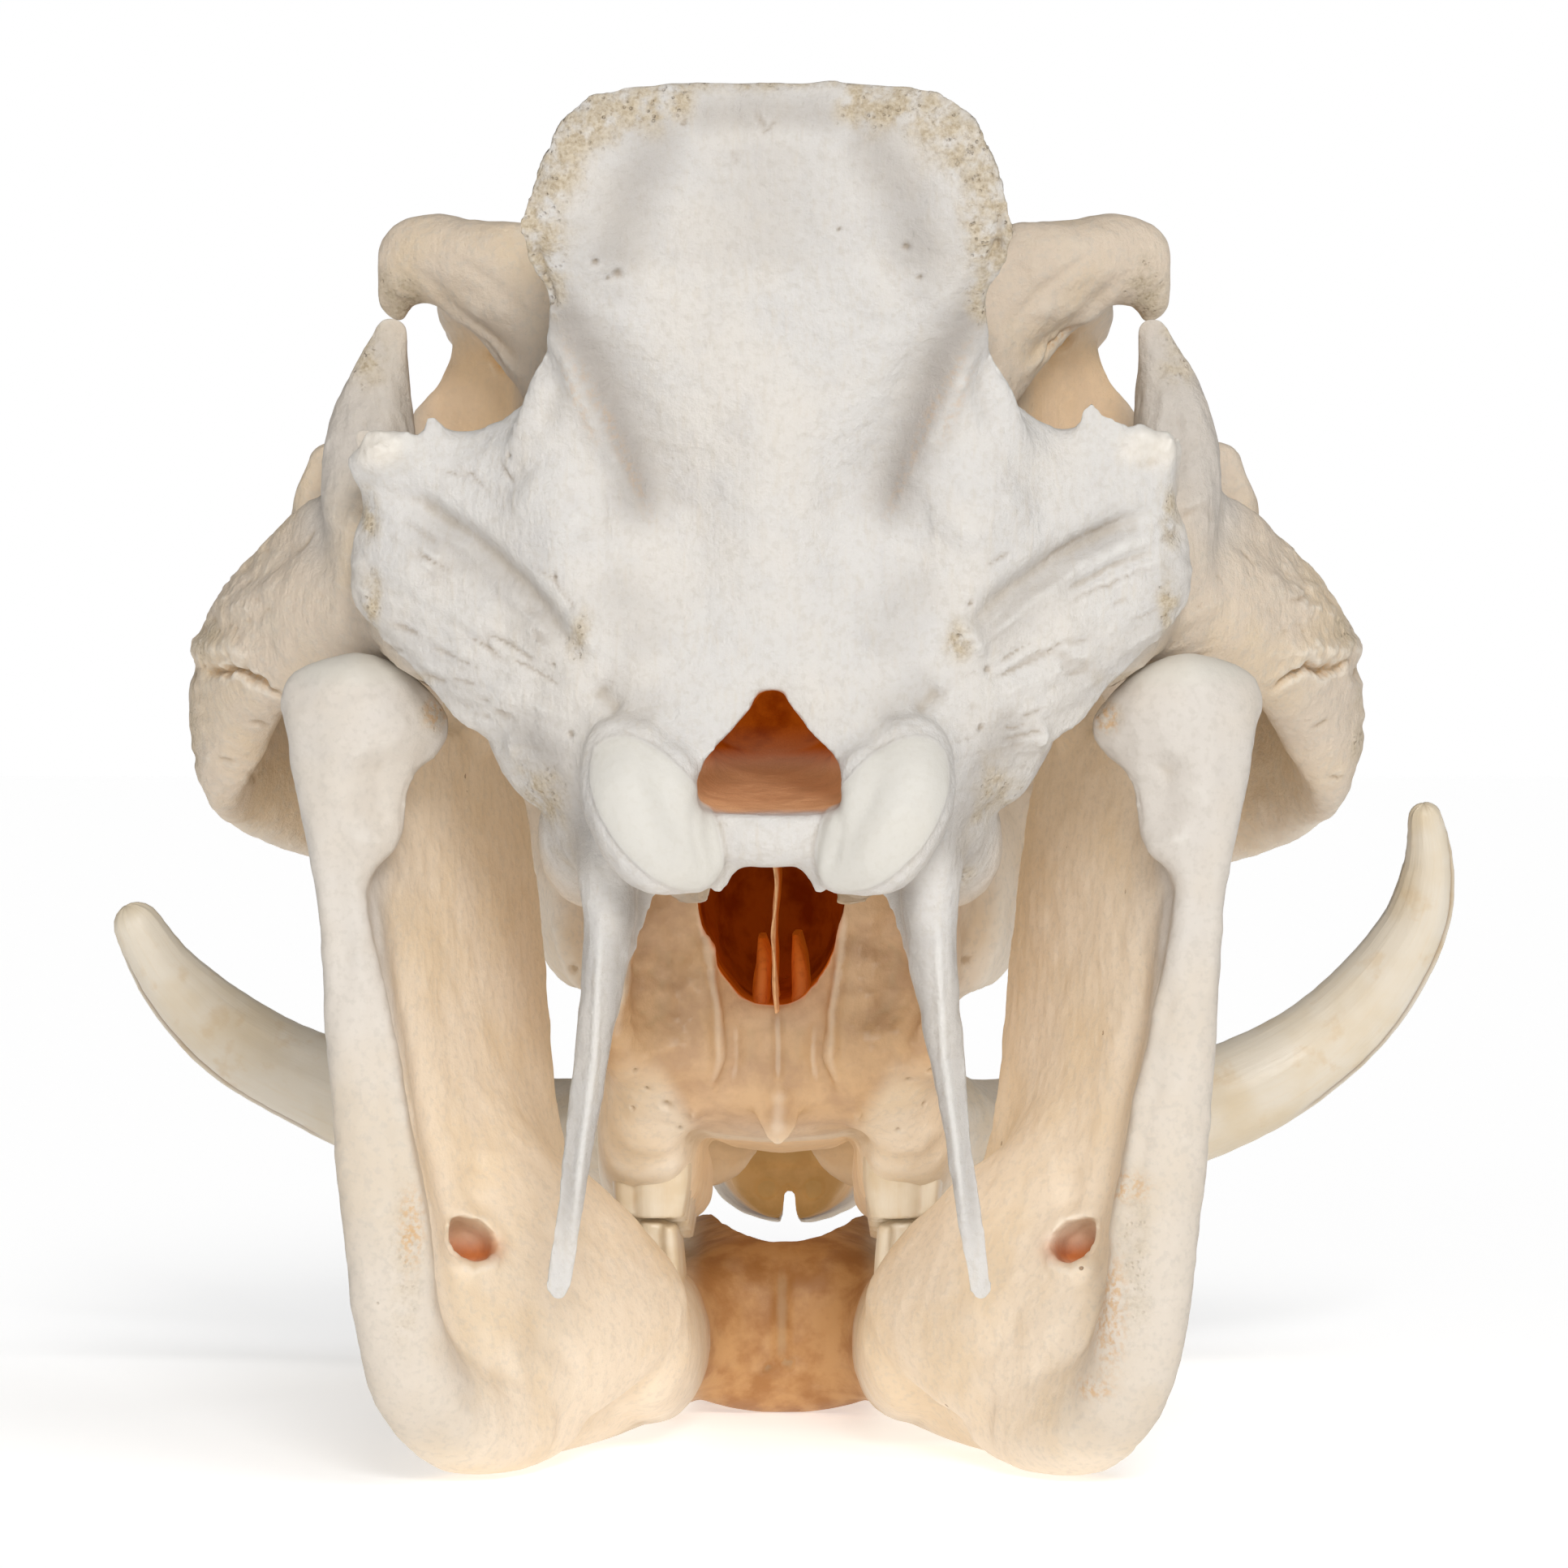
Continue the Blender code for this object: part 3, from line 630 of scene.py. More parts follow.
# Fine shapes that only the bones' own surfaces show
def spike(foot, tip, wide, sharp):
    """A small knob or point of bone from its foot to its tip."""
    middle = [(a + b) / 2 for a, b in zip(foot, tip)]
    return loft([
        (*foot, wide, wide),
        (*middle, 0.72 * wide, 0.72 * wide),
        (*tip, sharp, sharp),
    ], side=FORWARD, sides=14, steps=3)


def wing_knobs():
    """The ragged knobs along the upper edges of the two wings."""
    left = (
        ((-58.5, 29, 187), (-60.2, 26, 193.4), 2.8, 1.8),
        ((-62, 29, 185), (-65, 26.5, 190.6), 3, 2),
        ((-67, 33, 182), (-69.5, 28, 189), 5.4, 4), ((-69.5, 36, 180), (-73, 30, 186.5), 4.4, 3),
        ((-70, 42, 184), (-73, 38, 191), 3.8, 2.2),
    )
    right = (
        ((55, 27, 188), (57.6, 25, 195.5), 2.6, 1.8), ((60, 29, 186), (61.5, 26, 193), 2.6, 1.8),
        ((64, 31, 184), (66, 28, 191.5), 3.6, 2.2), ((69, 34, 181), (70.5, 30, 190), 4.2, 2.6),
        ((70, 38, 182), (72.5, 35, 189), 3.8, 2.2),
    )
    return [spike(*row) for row in left + right]


def edge_points():
    """Spurs under the wings, prongs under the spinal hole and thin edges in front of it."""
    spurs = [
        spike((-42, 24, 142), (-46.4, 21, 135), 4.0, 0.9),
        spike((44, 24, 143), (49.5, 21, 136), 4.0, 1.2),
        spike((-7.6, 12, 116), (-8.9, 10.5, 110.8), 3.0, 1.3),
        spike((8.6, 12, 116), (9.4, 10.5, 110.8), 3.0, 1.3),
    ]
    web = loft([
        (24, 30, 132, 9, 1.4), (23.5, 30, 120, 7.5, 1.2), (24.5, 29, 108, 4, 1.1),
        (26, 28, 98, 1.8, 1),
    ], along=UP, sides=24, cap=1)
    flange = loft([
        (16, 60, 118, 6, 2.5), (15.5, 58, 110, 5, 1.8), (14.5, 56, 105.5, 2.6, 1.2),
    ], along=UP, sides=20, cap=1)
    plate_edge = loft([
        (13.4, 94, 109, 0.9, 6), (12.8, 93.6, 98, 1, 6), (11.6, 94, 88, 1.3, 6),
        (11.8, 94.5, 78, 1.7, 6), (14, 98, 69, 2.2, 6), (16.4, 102, 61, 1.6, 6),
    ], along=UP, sides=20, cap=1)
    return spurs + both(web, flange, plate_edge)


def jaw_fillers():
    """The wide face where the upright branch of the jaw turns into its body."""
    slanted = Vector((-0.62, 0.78, 0))
    face = loft([
        (51.5, 78, 9, 22, 9), (49, 80, 14, 32, 10), (45.5, 82, 22, 40, 10.5), (44.5, 83, 32, 41, 9.5),
        (48, 84, 44, 34, 8), (53, 83, 55, 25, 6.5), (57, 81, 65, 16, 4.5), (60, 79, 74, 8, 3),
    ], side=slanted, along=UP, power=2.4, sides=40)
    return both(face)


def throat_fillers():
    """The hollow plates on both sides of the rear opening of the nose."""
    plate = loft([
        (21, 97, 113, 6, 9), (20.5, 97, 102, 8.5, 9), (20, 98, 90, 10.5, 9), (20.5, 100, 78, 11, 9.5),
        (22, 103, 68, 9.5, 10),
    ], along=UP, power=3.4, sides=32, cap=3)
    return both(plate)


# Brushes that raise or lower the surface, in millimetres
def line_shape(points, path, wide, taper):
    """1 on a line seen from behind, falling to 0 beside it and at its ends; path holds x and z."""
    away, along = away_from(points[:, [0, 2]], path, 3.5 * wide)
    ends = rise(along, -0.01, taper) * rise(1 - along, -0.01, taper)
    return np.exp(-(away / wide) ** 2) * ends


def strokes(points, depth, table, reach, mirror=False):
    """Raises the surface along lines; each has its path, its width and its height."""
    for path, wide, high in table:
        for place in both_ways(path)[: 1 + mirror]:
            depth += high * reach * line_shape(points, place, wide, 0.3)


def dots(points, depth, table, reach):
    """Small pits, each with its place x and z and its radius; gives how much of a pit each point is."""
    found = np.zeros(len(points))
    for x, z, size in table:
        away = (points[:, 0] - x) ** 2 + (points[:, 2] - z) ** 2
        found = np.maximum(found, reach * np.exp(-away / size ** 2))
    depth -= PIT_DEPTH * found
    return found


def cracks(points, depth, table, reach, wide=0.32, deep=0.4):
    """Thin cracks on an uneven course; gives how much of a crack each point is."""
    found = np.zeros(len(points))
    across = noise(points, 2.2, 61)
    up = noise(points, 2.2, 62)
    course = points + 0.7 * np.stack((across, np.zeros(len(points)), up), axis=1)
    for path in table:
        found = np.maximum(found, reach * line_shape(course, path, wide, 0.4))
    depth -= deep * found
    return found


def between_y(points, low, high, soft=4.0):
    """1 where a point lies between two depths from the back of the head."""
    y = points[:, 1]
    return rise(y, low - soft, low) * fall(y, high, high + soft)


def settled(web, points, normals, times, keep=None):
    """Evens out surfaces that face backward, without moving their outlines."""
    share = rise(-normals[:, 1], 0.15, 0.55)
    if keep is not None:
        share = share * (1 - keep)
    share = web.blurred(share, 2)
    points = points.copy()
    for turn in range(times):
        points[:, 1] += 0.5 * share * (web.average(points[:, 1]) - points[:, 1])
    return points


def mirror_bump(points, centre, radii):
    """A bump on both sides of the head."""
    return bump(np.abs(points) * (1, 0, 1) + points * (0, 1, 0), centre, radii)


def soft_spot(points, centre, radii, low=0.2, high=0.7):
    """1 well inside an ellipsoid on either side of the head and 0 outside it."""
    return rise(mirror_bump(points, centre, radii), low, high)


def add_mark(marks, name, values):
    """Raises a mark to these values where it is lower."""
    marks[name] = np.maximum(marks[name], values)


# Back of the head
BACK_FORMS = (
    (((32.5, 213.8), (27.8, 203.7), (23.1, 193.6), (18.8, 183.5), (14.6, 171)), 5.2, -2.6),
    (((42, 219), (39, 211), (35, 203), (30.2, 193), (24, 181), (19, 167)), 2.6, 0.9),
    (((40, 208), (38, 199), (41, 190)), 2.4, -1.5),
    (((26, 240), (23, 228), (18, 216)), 6.5, -1.6),
    (((35, 226), (38, 236), (34, 244), (22, 249)), 3.6, 1.4),
    (((20, 247), (8, 246), (0, 245)), 3.2, -0.8),
    (((31, 171), (38, 178), (47, 183)), 6.5, 2),
    (((28, 164), (22, 158), (17, 150)), 5, 1.2),
    (((31, 147), (28, 144), (26, 142)), 2, -1.5),
    (((52, 160), (43, 152), (36, 146)), 4.5, -1.1),
    (((70, 176), (74, 168), (71, 159), (60, 150), (52, 142)), 1.4, 0.7),
    (((12.8, 130), (13.2, 121), (11.4, 113)), 0.8, -0.3),
    (((30, 110), (30.2, 98), (31.3, 80.5), (33.6, 63), (35.8, 43)), 0.9, 1.3),
)
# Lines of painted shade beside the crest's ridges, under its top edge, on the flanks of the processes
# and round the wings and condyles; each has its path, its width and how dark it is.
SHADE_PLACES = (
    (((40, 221), (35.6, 212), (31.2, 204), (27.6, 196), (24, 186), (21, 172)), 4.6, 1),
    (((13, 248), (19, 243), (23, 235), (26.5, 224), (26, 216)), 6, 0.62),
    (((-17, 246), (-8, 247.8), (0, 248), (10, 247.8), (17, 246)), 3.6, 0.6),
    (((0, 246), (0, 232), (0, 218)), 14, 0.28),
    (((33, 232), (30, 222), (27, 212)), 5, 0.3),
    (((27, 110), (26.8, 98), (28.6, 80), (31.4, 63), (34.2, 43)), 1.8, 0.8),
    (((33, 110), (33, 98), (33.6, 80.5), (35.6, 63), (37.3, 43)), 1.2, 0.6),
    (((24, 113), (25, 104), (27, 97)), 2.6, 0.8),
    (((47, 143), (39, 133), (35, 122), (34, 111)), 4.2, 0.7),
    (((67, 178), (54, 170), (44, 161.5), (36, 151)), 4, 0.5),
    (((30, 150), (25, 145), (19, 140)), 4, 0.3),
    (((30, 168), (24, 160), (20, 150)), 5, 0.25),
    (((73, 176), (74, 168), (69, 158), (58, 148), (49, 140)), 3, 0.35),
)
STREAKS = (
    ((38, 213), (34, 204), (29, 195), (24, 184), (19, 171)), ((37.6, 206), (33.6, 197), (29.4, 188)),
)
PILLAR_FORMS = (
    (((0, 205), (0, 185), (0, 160)), 7, 1.6),
    (((-10.6, 125), (-9.2, 118.6), (-8, 112)), 0.9, 0.4),
    (((12, 125), (10.6, 118.6), (9.6, 112)), 0.9, 0.4),
    (((-9, 121), (0, 120.5), (9, 121)), 3.4, 0.6),
)
LEFT_FORMS = (
    ((
        (-71.5, 183), (-62.5, 179.5), (-53.5, 173.5), (-45, 165.5), (-37.4, 157), (-31.5, 149),
    ), 2.2, -3.2),
    (((-69, 178), (-59, 172.5), (-50, 165), (-42, 156)), 2.6, -1.3),
    (((-36, 161), (-32.5, 156), (-30, 151.5)), 1.9, 1.4),
    (((-45.5, 216), (-43.4, 211), (-40.5, 205)), 0.8, -0.9),
    (((-41, 226), (-39.5, 219), (-37.5, 213)), 0.8, -1.3),
)
RIGHT_FORMS = (
    (((73, 179), (63, 175.4), (51.6, 169.6), (41.4, 162), (33, 155)), 2.2, -2.8),
    (((71.4, 172), (61.3, 167.7), (51.2, 162.6)), 1.3, -1.5),
    (((56, 169), (48, 164), (40, 157)), 1, -0.9),
    (((33, 160), (36, 155), (39, 151)), 2.1, 1.3),
    (((41.5, 232), (40.5, 225), (39, 219)), 0.9, -1.3),
)
BACK_CRACKS = (
    ((-2.6, 249.2), (-1.2, 246.8), (-0.4, 244.6)),
    ((2.2, 248), (0.8, 246), (-0.4, 244.6), (-1.6, 243.2)),
    ((-6.2, 241.5), (-5.6, 239.9), (-5.2, 238.8)),
    ((-66, 171.5), (-60, 168.6), (-55, 165)), ((-55, 156), (-49.6, 153.2), (-45.4, 149.8)),
    ((-44, 169), (-37.4, 165.4), (-35.2, 161.4), (-34, 157)),
    ((-60.6, 185.6), (-53, 184.8), (-50.4, 182.2), (-48.4, 179.8)), ((-48.6, 187), (-44.6, 182.4)),
    ((72.5, 169), (64, 166.2), (56.4, 163.2), (50.6, 158.8)),
    ((68, 178.4), (58, 174.6), (51, 170.2), (46, 166.6)),
    ((60, 156), (52, 153.6), (46.6, 151.4)), ((44, 171), (37.4, 168)), ((49.6, 143.4), (44.6, 141)),
)
BACK_PITS = (
    (-30.3, 221.4, 0.55), (-26.4, 219.2, 0.8), (-28, 218.6, 0.4), (24.2, 223.8, 0.6),
    (26.8, 218.6, 0.4), (-14.6, 246.2, 0.4), (40.8, 224.2, 0.9), (-38, 166.3, 0.35),
    (12.6, 227.2, 0.3), (-46.6, 188, 0.3), (36, 161.5, 0.45), (-38.4, 150.4, 0.3),
    (39.4, 149.6, 0.45), (-35.2, 138.2, 0.5), (37.8, 139.4, 0.5),
)


def oval(points, centre, turn, long, short):
    """1 on the edge of a tilted oval seen from behind, less than 1 inside it."""
    across = points[:, 0] - centre[0]
    up = points[:, 2] - centre[1]
    one = (across * math.cos(turn) + up * math.sin(turn)) / long
    other = (up * math.cos(turn) - across * math.sin(turn)) / short
    return np.hypot(one, other)


def condyle_faces(points):
    """The smooth joint faces on both sides of the spinal hole, and the grooves round them."""
    one = oval(points, (-19.6, 124.3), -0.93, 16, 8.6)
    other = oval(points, (20.4, 124.3), 0.93, 16, 8.8)
    edge = np.minimum(one, other)
    rear = fall(points[:, 1], 10, 16)
    return rear * fall(edge, 0.92, 1.04), rear * np.exp(-((edge - 1.06) / 0.06) ** 2)


CREST_RIM = ((42, 209), (41, 222), (39.4, 234), (34.4, 243), (25.6, 249), (11, 252.6))
POROUS_PLACES = (
    ((68, 73, 218), (6, 12, 8)), ((74, 60, 206), (5, 9, 8)), ((110, 92, 133), (3.4, 14, 15)),
    ((106, 86, 155), (5, 10, 5)), ((33.5, 13, 155.5), (3, 12, 5.5)), ((72, 32, 176), (2.4, 12, 7)),
    ((71, 31, 160), (2, 9, 9)), ((76, 118, 178), (12, 6, 5)), ((60, 36, 148), (7, 10, 2)),
    ((31, 36, 118), (8, 14, 12)), ((40, 28, 128), (7, 14, 8)),
)


def porous_places(points):
    """How porous the bone is: the crest's thick rims, the ends of the hooks and other rough edges."""
    found = np.zeros(len(points))
    for centre, radii in POROUS_PLACES:
        found = np.maximum(found, 0.85 * mirror_bump(points, centre, radii))
    for path in both_ways(CREST_RIM):
        found = np.maximum(found, line_shape(points, path, 6.6, 0.08) * between_y(points, -12, 10, 16))
    found = np.maximum(found, 0.8 * bump(points, (0, 0, 253.4), (34, 8, 2.0)))
    return rise(found + 0.2 * rough_noise(points, 4.5, 13, 2), 0.2, 0.9)


def striae(points):
    """Coordinates that run with the fine ridges that fan out from the spinal hole over the wings."""
    x, y, z = points.T
    turn = np.arctan2(z - 128, x)
    reach = np.hypot(x, z - 128)
    return np.stack((turn * 55, reach * 0.14, y * 0.1), axis=1)


def weathered(points, depth, porous, calm, seed):
    """Uneven bone: wide swells, small dimples and, where it is porous, pits."""
    depth += 0.32 * noise(points, 17, seed)
    depth += 0.18 * noise(points, 6, seed + 1)
    depth += (0.16 - 0.12 * calm) * rough_noise(points, 3.4, seed + 2, 2)
    pits = rise(noise(points, 1.7, seed + 3), 0.0, 0.6)
    depth -= porous * (0.22 * pits - 0.36 * rough_noise(points, 5.0, seed + 4, 3))


def wing_lumps(points):
    """1 on the large cream knobs at the upper corners of the wings."""
    left = bump(points, (-70, 27, 189.5), (5, 7, 4.5))
    right = bump(points, (68, 28, 189), (7, 7, 4))
    return rise(left + right, 0.2, 0.8)


def sculpt_back(points, normals, depth, marks):
    """Everything on the back of the head that the photo camera sees best."""
    x = points[:, 0]
    z = points[:, 2]
    facing = rise(-normals[:, 1], -0.1, 0.35) * between_y(points, -10, 52)
    strokes(points, depth, BACK_FORMS, facing, mirror=True)
    strokes(points, depth, PILLAR_FORMS + LEFT_FORMS + RIGHT_FORMS, facing)
    add_mark(marks, "crack", cracks(points, depth, BACK_CRACKS, facing))
    add_mark(marks, "crack", dots(points, depth, BACK_PITS, facing))
    marks["smooth"], groove = condyle_faces(points)
    depth += 0.4 * marks["smooth"] - 0.3 * groove * facing
    fan = striae(points)
    side = np.abs(x)
    wing = facing * rise(side, 24, 44) * rise(z, 125, 140) * rise(-z, -196, -184)
    lower = rise(side * 0.62 - z, -140, -128)
    depth += wing * (0.12 + 0.3 * lower) * rough_noise(fan, 2.4, 71, 3)
    dashes = rise(noise(fan * (1, 1.6, 0), 1.0, 78), 0.42, 0.7) * rise(noise(points, 6, 79), -0.2, 0.3)
    dashes = dashes * wing * (0.25 + 0.75 * lower)
    depth -= 0.4 * dashes
    depth += 0.7 * wing_lumps(points) * rough_noise(points, 3.2, 55, 3)
    add_mark(marks, "crack", 0.6 * dashes)
    # Painted shade along the lines of that table.
    for path, wide, share in SHADE_PLACES:
        for place in both_ways(path):
            add_mark(marks, "painted_grey_shade", share * facing * line_shape(points, place, wide, 0.2))
    for path in STREAKS:
        for place in both_ways(path):
            add_mark(marks, "stain", 0.35 * facing * line_shape(points, place, 0.9, 0.3))
    return points * (1, 1, 0.15)


SUTURES = (
    (
        (-109, 149.4), (-105.3, 148.8), (-102, 148.2), (-99.4, 149.4), (-96, 147.4), (-91.7, 144.9),
        (-88, 142),
    ),
    (
        (109.5, 150.6), (106.3, 150.4), (102, 148.6), (98.1, 149.7), (96, 148.4), (93.6, 147),
        (90, 144),
    ),
)
SIDE_SUTURE = (
    (110, 82, 148.6), (110.5, 94, 147.6), (108, 104, 149), (105, 112, 144), (102, 120, 147),
    (97, 128, 142),
)
SIDE_FORMS = (
    (((65, 220), (57.7, 213.5), (50.9, 206.9), (44, 201)), 0.9, 0.9),
    (((66, 223), (58.5, 216), (52, 209.4), (45, 204)), 1.5, -0.8),
    (((60, 226), (50, 219), (42, 211)), 1.4, -0.5),
    (((112, 153), (105, 152.4), (99, 153), (93, 150)), 2.2, 1.3),
    (((104, 158), (96, 162), (88, 166)), 2.6, 0.7),
    (((100, 163.5), (92, 168), (86, 175)), 1.8, -0.7),
    (((80, 196), (80.5, 184), (78, 172)), 2.4, 0.7),
    (((73, 200), (74.5, 190), (73, 180)), 2.2, -0.8),
)
EYE_SLITS = (
    ((-54.2, 208.4), (-51.6, 205.8), (-48.6, 202.8)),
    ((57.4, 213), (54, 209.4), (49.4, 204.7)),
)
ARCH_CRACKS = (
    ((-104, 132), (-100, 131.4)), ((-99, 127), (-96.6, 130)), ((-97, 139), (-93, 138)),
    ((104, 140), (99, 137.4)), ((107, 128), (102, 129)), ((90, 168), (84, 172)),
    ((-88, 170), (-83, 175)), ((99, 163), (93, 161)),
)


def sculpt_sides(points, normals, depth, marks):
    """The sutures of the cheek arches, the slits of the brow and the lines behind the eyes."""
    x = points[:, 0]
    z = points[:, 2]
    facing = rise(-normals[:, 1], -0.3, 0.3)
    arch = facing * between_y(points, 56, 112)
    seam = cracks(points, depth, SUTURES, arch, 0.7, 2.2)
    strokes(points, depth, SIDE_FORMS, facing * between_y(points, 50, 112), mirror=True)
    slit = cracks(points, depth, EYE_SLITS, facing * between_y(points, 50, 110), 0.8, 1.6)
    side = np.abs(x)
    rugged = arch * (0.35 * rise(side, 84, 98) * rise(z, 144, 150) + 0.1 * rise(side, 84, 98))
    depth += rugged * rough_noise(points * (1, 1, 1.7), 3.4, 57, 3)
    edge = rise(side, 103, 107.5) * between_y(points, 50, 125) * rise(-z, -150, -146)
    depth += 0.45 * edge * noise(points * (0.2, 0.2, 1), 2.0, 58)
    add_mark(marks, "stain", np.maximum(0.9 * seam, rise(slit, 0.2, 0.7)))
    add_mark(marks, "crack", 0.6 * cracks(points, depth, ARCH_CRACKS, arch, 0.45, 0.5))
    for path in both_ways(SIDE_SUTURE):
        away, along = away_from(points, path, 6)
        depth -= 0.7 * np.exp(-(away / 0.7) ** 2)
        depth -= 2.6 * np.exp(-(away / 2.0) ** 2) * fall(along, 0.2, 0.5)
    depth += 1.0 * facing * mirror_bump(points, (52, 66, 215), (16, 12, 3)) * between_y(points, 50, 90)
    depth -= 1.6 * facing * mirror_bump(points, (52, 66, 207), (10, 14, 5)) * between_y(points, 50, 100)
    peak = mirror_bump(points, (73, 60, 190), (9, 12, 16)) * facing
    leaning = points * (1, 1, 0.25) + points[:, [2, 1, 0]] * (0.12, 0, 0)
    depth += 0.7 * peak * rough_noise(leaning, 2.6, 75, 2)


THROAT_FORMS = (
    (((20, 104), (21, 95), (20.5, 86), (19.5, 78)), 5.2, -3.2),
    (((13.2, 106), (12.6, 96), (11.2, 85), (10.8, 76), (12.4, 68)), 1, 1.9),
    (((7.5, 84), (7.2, 76), (8, 70)), 0.9, 0.7),
    (((4.5, 83), (4, 74)), 1.6, -0.7),
    (((27, 100), (28.5, 88), (30, 78)), 1.2, 0.8),
)
PALATE_FORMS = (
    (((0.4, 86), (0.6, 78), (0.6, 70)), 0.8, 1.1),
    (((0.6, 72), (0.6, 66), (0.4, 60)), 2.2, 1.5),
)
THROAT_PITS = (
    (-20.5, 66.7, 0.8), (-39, 91.1, 0.7), (36.1, 93.2, 0.7), (-24, 70, 0.35), (-27, 66, 0.3),
    (25, 72, 0.35), (28, 67, 0.35), (23, 62, 0.3), (-18, 62, 0.3), (29, 74, 0.3), (-26, 74, 0.25),
)

LIP_PITS = ((-4.4, 37.2, 2.2), (4.8, 37.2, 2.0))


def sculpt_throat(points, normals, depth, marks):
    """The hollow plates beside the rear opening of the nose and the ridged palate below it."""
    facing = rise(-normals[:, 1], -0.2, 0.3) * between_y(points, 60, 130)
    strokes(points, depth, THROAT_FORMS, facing, mirror=True)
    strokes(points, depth, PALATE_FORMS, facing)
    add_mark(marks, "crack", dots(points, depth, THROAT_PITS, facing))
    lip = rise(-normals[:, 1], 0.2, 0.6) * between_y(points, 284, 300, 2)
    add_mark(marks, "crack", 0.8 * dots(points, depth, LIP_PITS, lip))
    rough = facing * soft_spot(points, (20, 88, 88), (8, 20, 15))
    depth += rough * 0.9 * rough_noise(points, 4.5, 77, 3)


# How much each point of the bone lies inside, for the painted shade and painted glow in its colour
def inside_nose(points, normals):
    x, y, z = points.T
    out = np.hypot((x + 0.5) / 14.5, (z - 100) / 17.5)
    wall = fall(-normals[:, 1], 0.45, 0.8)
    deep = np.maximum(wall * rise(y, 84, 90), rise(y, 106, 112))
    deep *= rise(z, 81, 83)
    return deep * fall(out, 1.0, 1.12) * fall(y, 150, 170)


def inside_head(points, normals):
    x, y, z = points.T
    out = np.hypot((x - 0.3) / 14.5, (z - 136) / 13)
    wall = fall(-normals[:, 1], 0.45, 0.8)
    deep = rise(y, 9, 15) * wall * fall(out, 1.1, 1.3)
    deep *= 1 - rise(z, 145.5, 147) * fall(y, 18, 22)
    deep *= fall(y, 64, 76)
    room = np.sqrt((((points - (0, 50, 150)) / (21.5, 25.5, 19.5)) ** 2).sum(axis=1))
    return np.maximum(deep, fall(room, 1.0, 1.1) * rise(y, 20, 26))


def under_snout(points):
    x, y, z = points.T
    low = fall(z, 56, 68) * fall(np.abs(x), 14, 20)
    return low * rise(y, 112, 135) * fall(y, 302, 314)


# Bones
def fine_bone(name, shapes, cutters):
    """One bone from overlapping shapes, with hollows cut into it, in a fine even mesh."""
    obj = made(name, shapes)
    melt(obj, VOXEL)
    hollow = made(name + "_hollows", cutters)
    melt(hollow, VOXEL)
    cut_away(obj, hollow)
    melt(obj, VOXEL)
    keep_largest(obj)
    return obj


def finer(obj, depth):
    """Splits once the faces that look backward and lie no deeper than that."""
    mesh = obj.data
    centres = read(mesh.polygons, "center", 3)
    normals = read(mesh.polygons, "normal", 3)
    pick = (centres[:, 1] / MM + MIDDLE_Y < depth) & (normals[:, 1] < 0.25)
    work = bmesh.new()
    work.from_mesh(mesh)
    work.faces.ensure_lookup_table()
    edges = {edge for i in np.flatnonzero(pick) for edge in work.faces[i].edges}
    bmesh.ops.subdivide_edges(work, edges=list(edges), cuts=1, use_grid_fill=True)
    work.to_mesh(mesh)
    work.free()


def store(obj, name, values):
    """Keeps one number or vector for each vertex, for the material."""
    kind = "FLOAT" if values.ndim == 1 else "FLOAT_VECTOR"
    layer = obj.data.attributes.new(name, kind, "POINT")
    layer.data.foreach_set("value" if values.ndim == 1 else "vector", values.astype(np.float32).ravel())


def hollowness(web, points, normals, times):
    """How far each point lies in a dip, in millimetres."""
    mean = web.relaxed(points, times)
    return ((mean - points) * normals).sum(axis=1)


def smooth_shaded(obj):
    obj.data.polygons.foreach_set("use_smooth", np.ones(len(obj.data.polygons), bool))
    obj.data.update()


def finish_bone(obj, marks, grain, node):
    """Stores what the bone material reads and puts the bone in the place of its solid."""
    points = points_of(obj)
    normals = normals_of(obj)
    web = Web(obj)
    small = hollowness(web, points, normals, SMALL_DIP_TIMES)
    large = hollowness(web, points, normals, LARGE_DIP_TIMES)
    # How far each point lies in a dip or on a ridge: the material paints shade in the dips and lighter
    # wear on the ridges.
    store(obj, "dip", np.clip(small * 2.5 + large * 0.35, -1, 1))
    store(obj, "grain", grain * MM)
    for name in MARKS:
        store(obj, name, web.blurred(marks[name], 1))
    smooth_shaded(obj)
    obj.data.materials.clear()
    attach(obj, "root")
    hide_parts(node)
    return obj


MARKS = ("cool", "porous", "crack", "stain", "smooth", "deep", "painted_glow", "painted_warm_shade", "pored", "painted_grey_shade")


def prepared(obj, times, even_times, keep, fine_depth, melted=None):
    """An evened and partly split bone, its points, its normals and its empty marks."""
    web = Web(obj)
    points = web.ironed(points_of(obj), times)
    if melted is not None:
        points += melted(points)[:, None] * (web.relaxed(points, SOFT_TIMES) - points)
    set_points(obj, points)
    points = settled(web, points, normals_of(obj), even_times, keep(points))
    set_points(obj, points)
    finer(obj, fine_depth)
    points = Web(obj).ironed(points_of(obj), 5)
    set_points(obj, points)
    marks = {name: np.zeros(len(points)) for name in MARKS}
    return points, normals_of(obj), marks


def keep_back(points):
    """Where the back of the head isn't evened out: near the spinal hole, its knobs and the teeth."""
    near = bump(points, (0, 8, 126), (34, 30, 18)) + mirror_bump(points, (65, 30, 188), (14, 14, 7))
    return np.clip(1.5 * near + rise(points[:, 1], 130, 150), 0, 1)


def soft_corners(points):
    """Where the cheeks, the teeth's sockets and the eye sockets flow into what lies round them."""
    x, y, z = points.T
    arch = 0.5 * soft_spot(points, (90, 74, 163), (12, 14, 10))
    step = soft_spot(points, (22, 101, 67), (14, 14, 8))
    floor = soft_spot(points, (52, 92, 196), (14, 14, 16))
    cheek = 0.85 * rise(y, 120, 138) * fall(y, 316, 334)
    cheek *= rise(z, 56, 70) * fall(np.abs(x), 62, 76)
    return np.maximum(np.maximum(arch, cheek), np.maximum(step, floor))


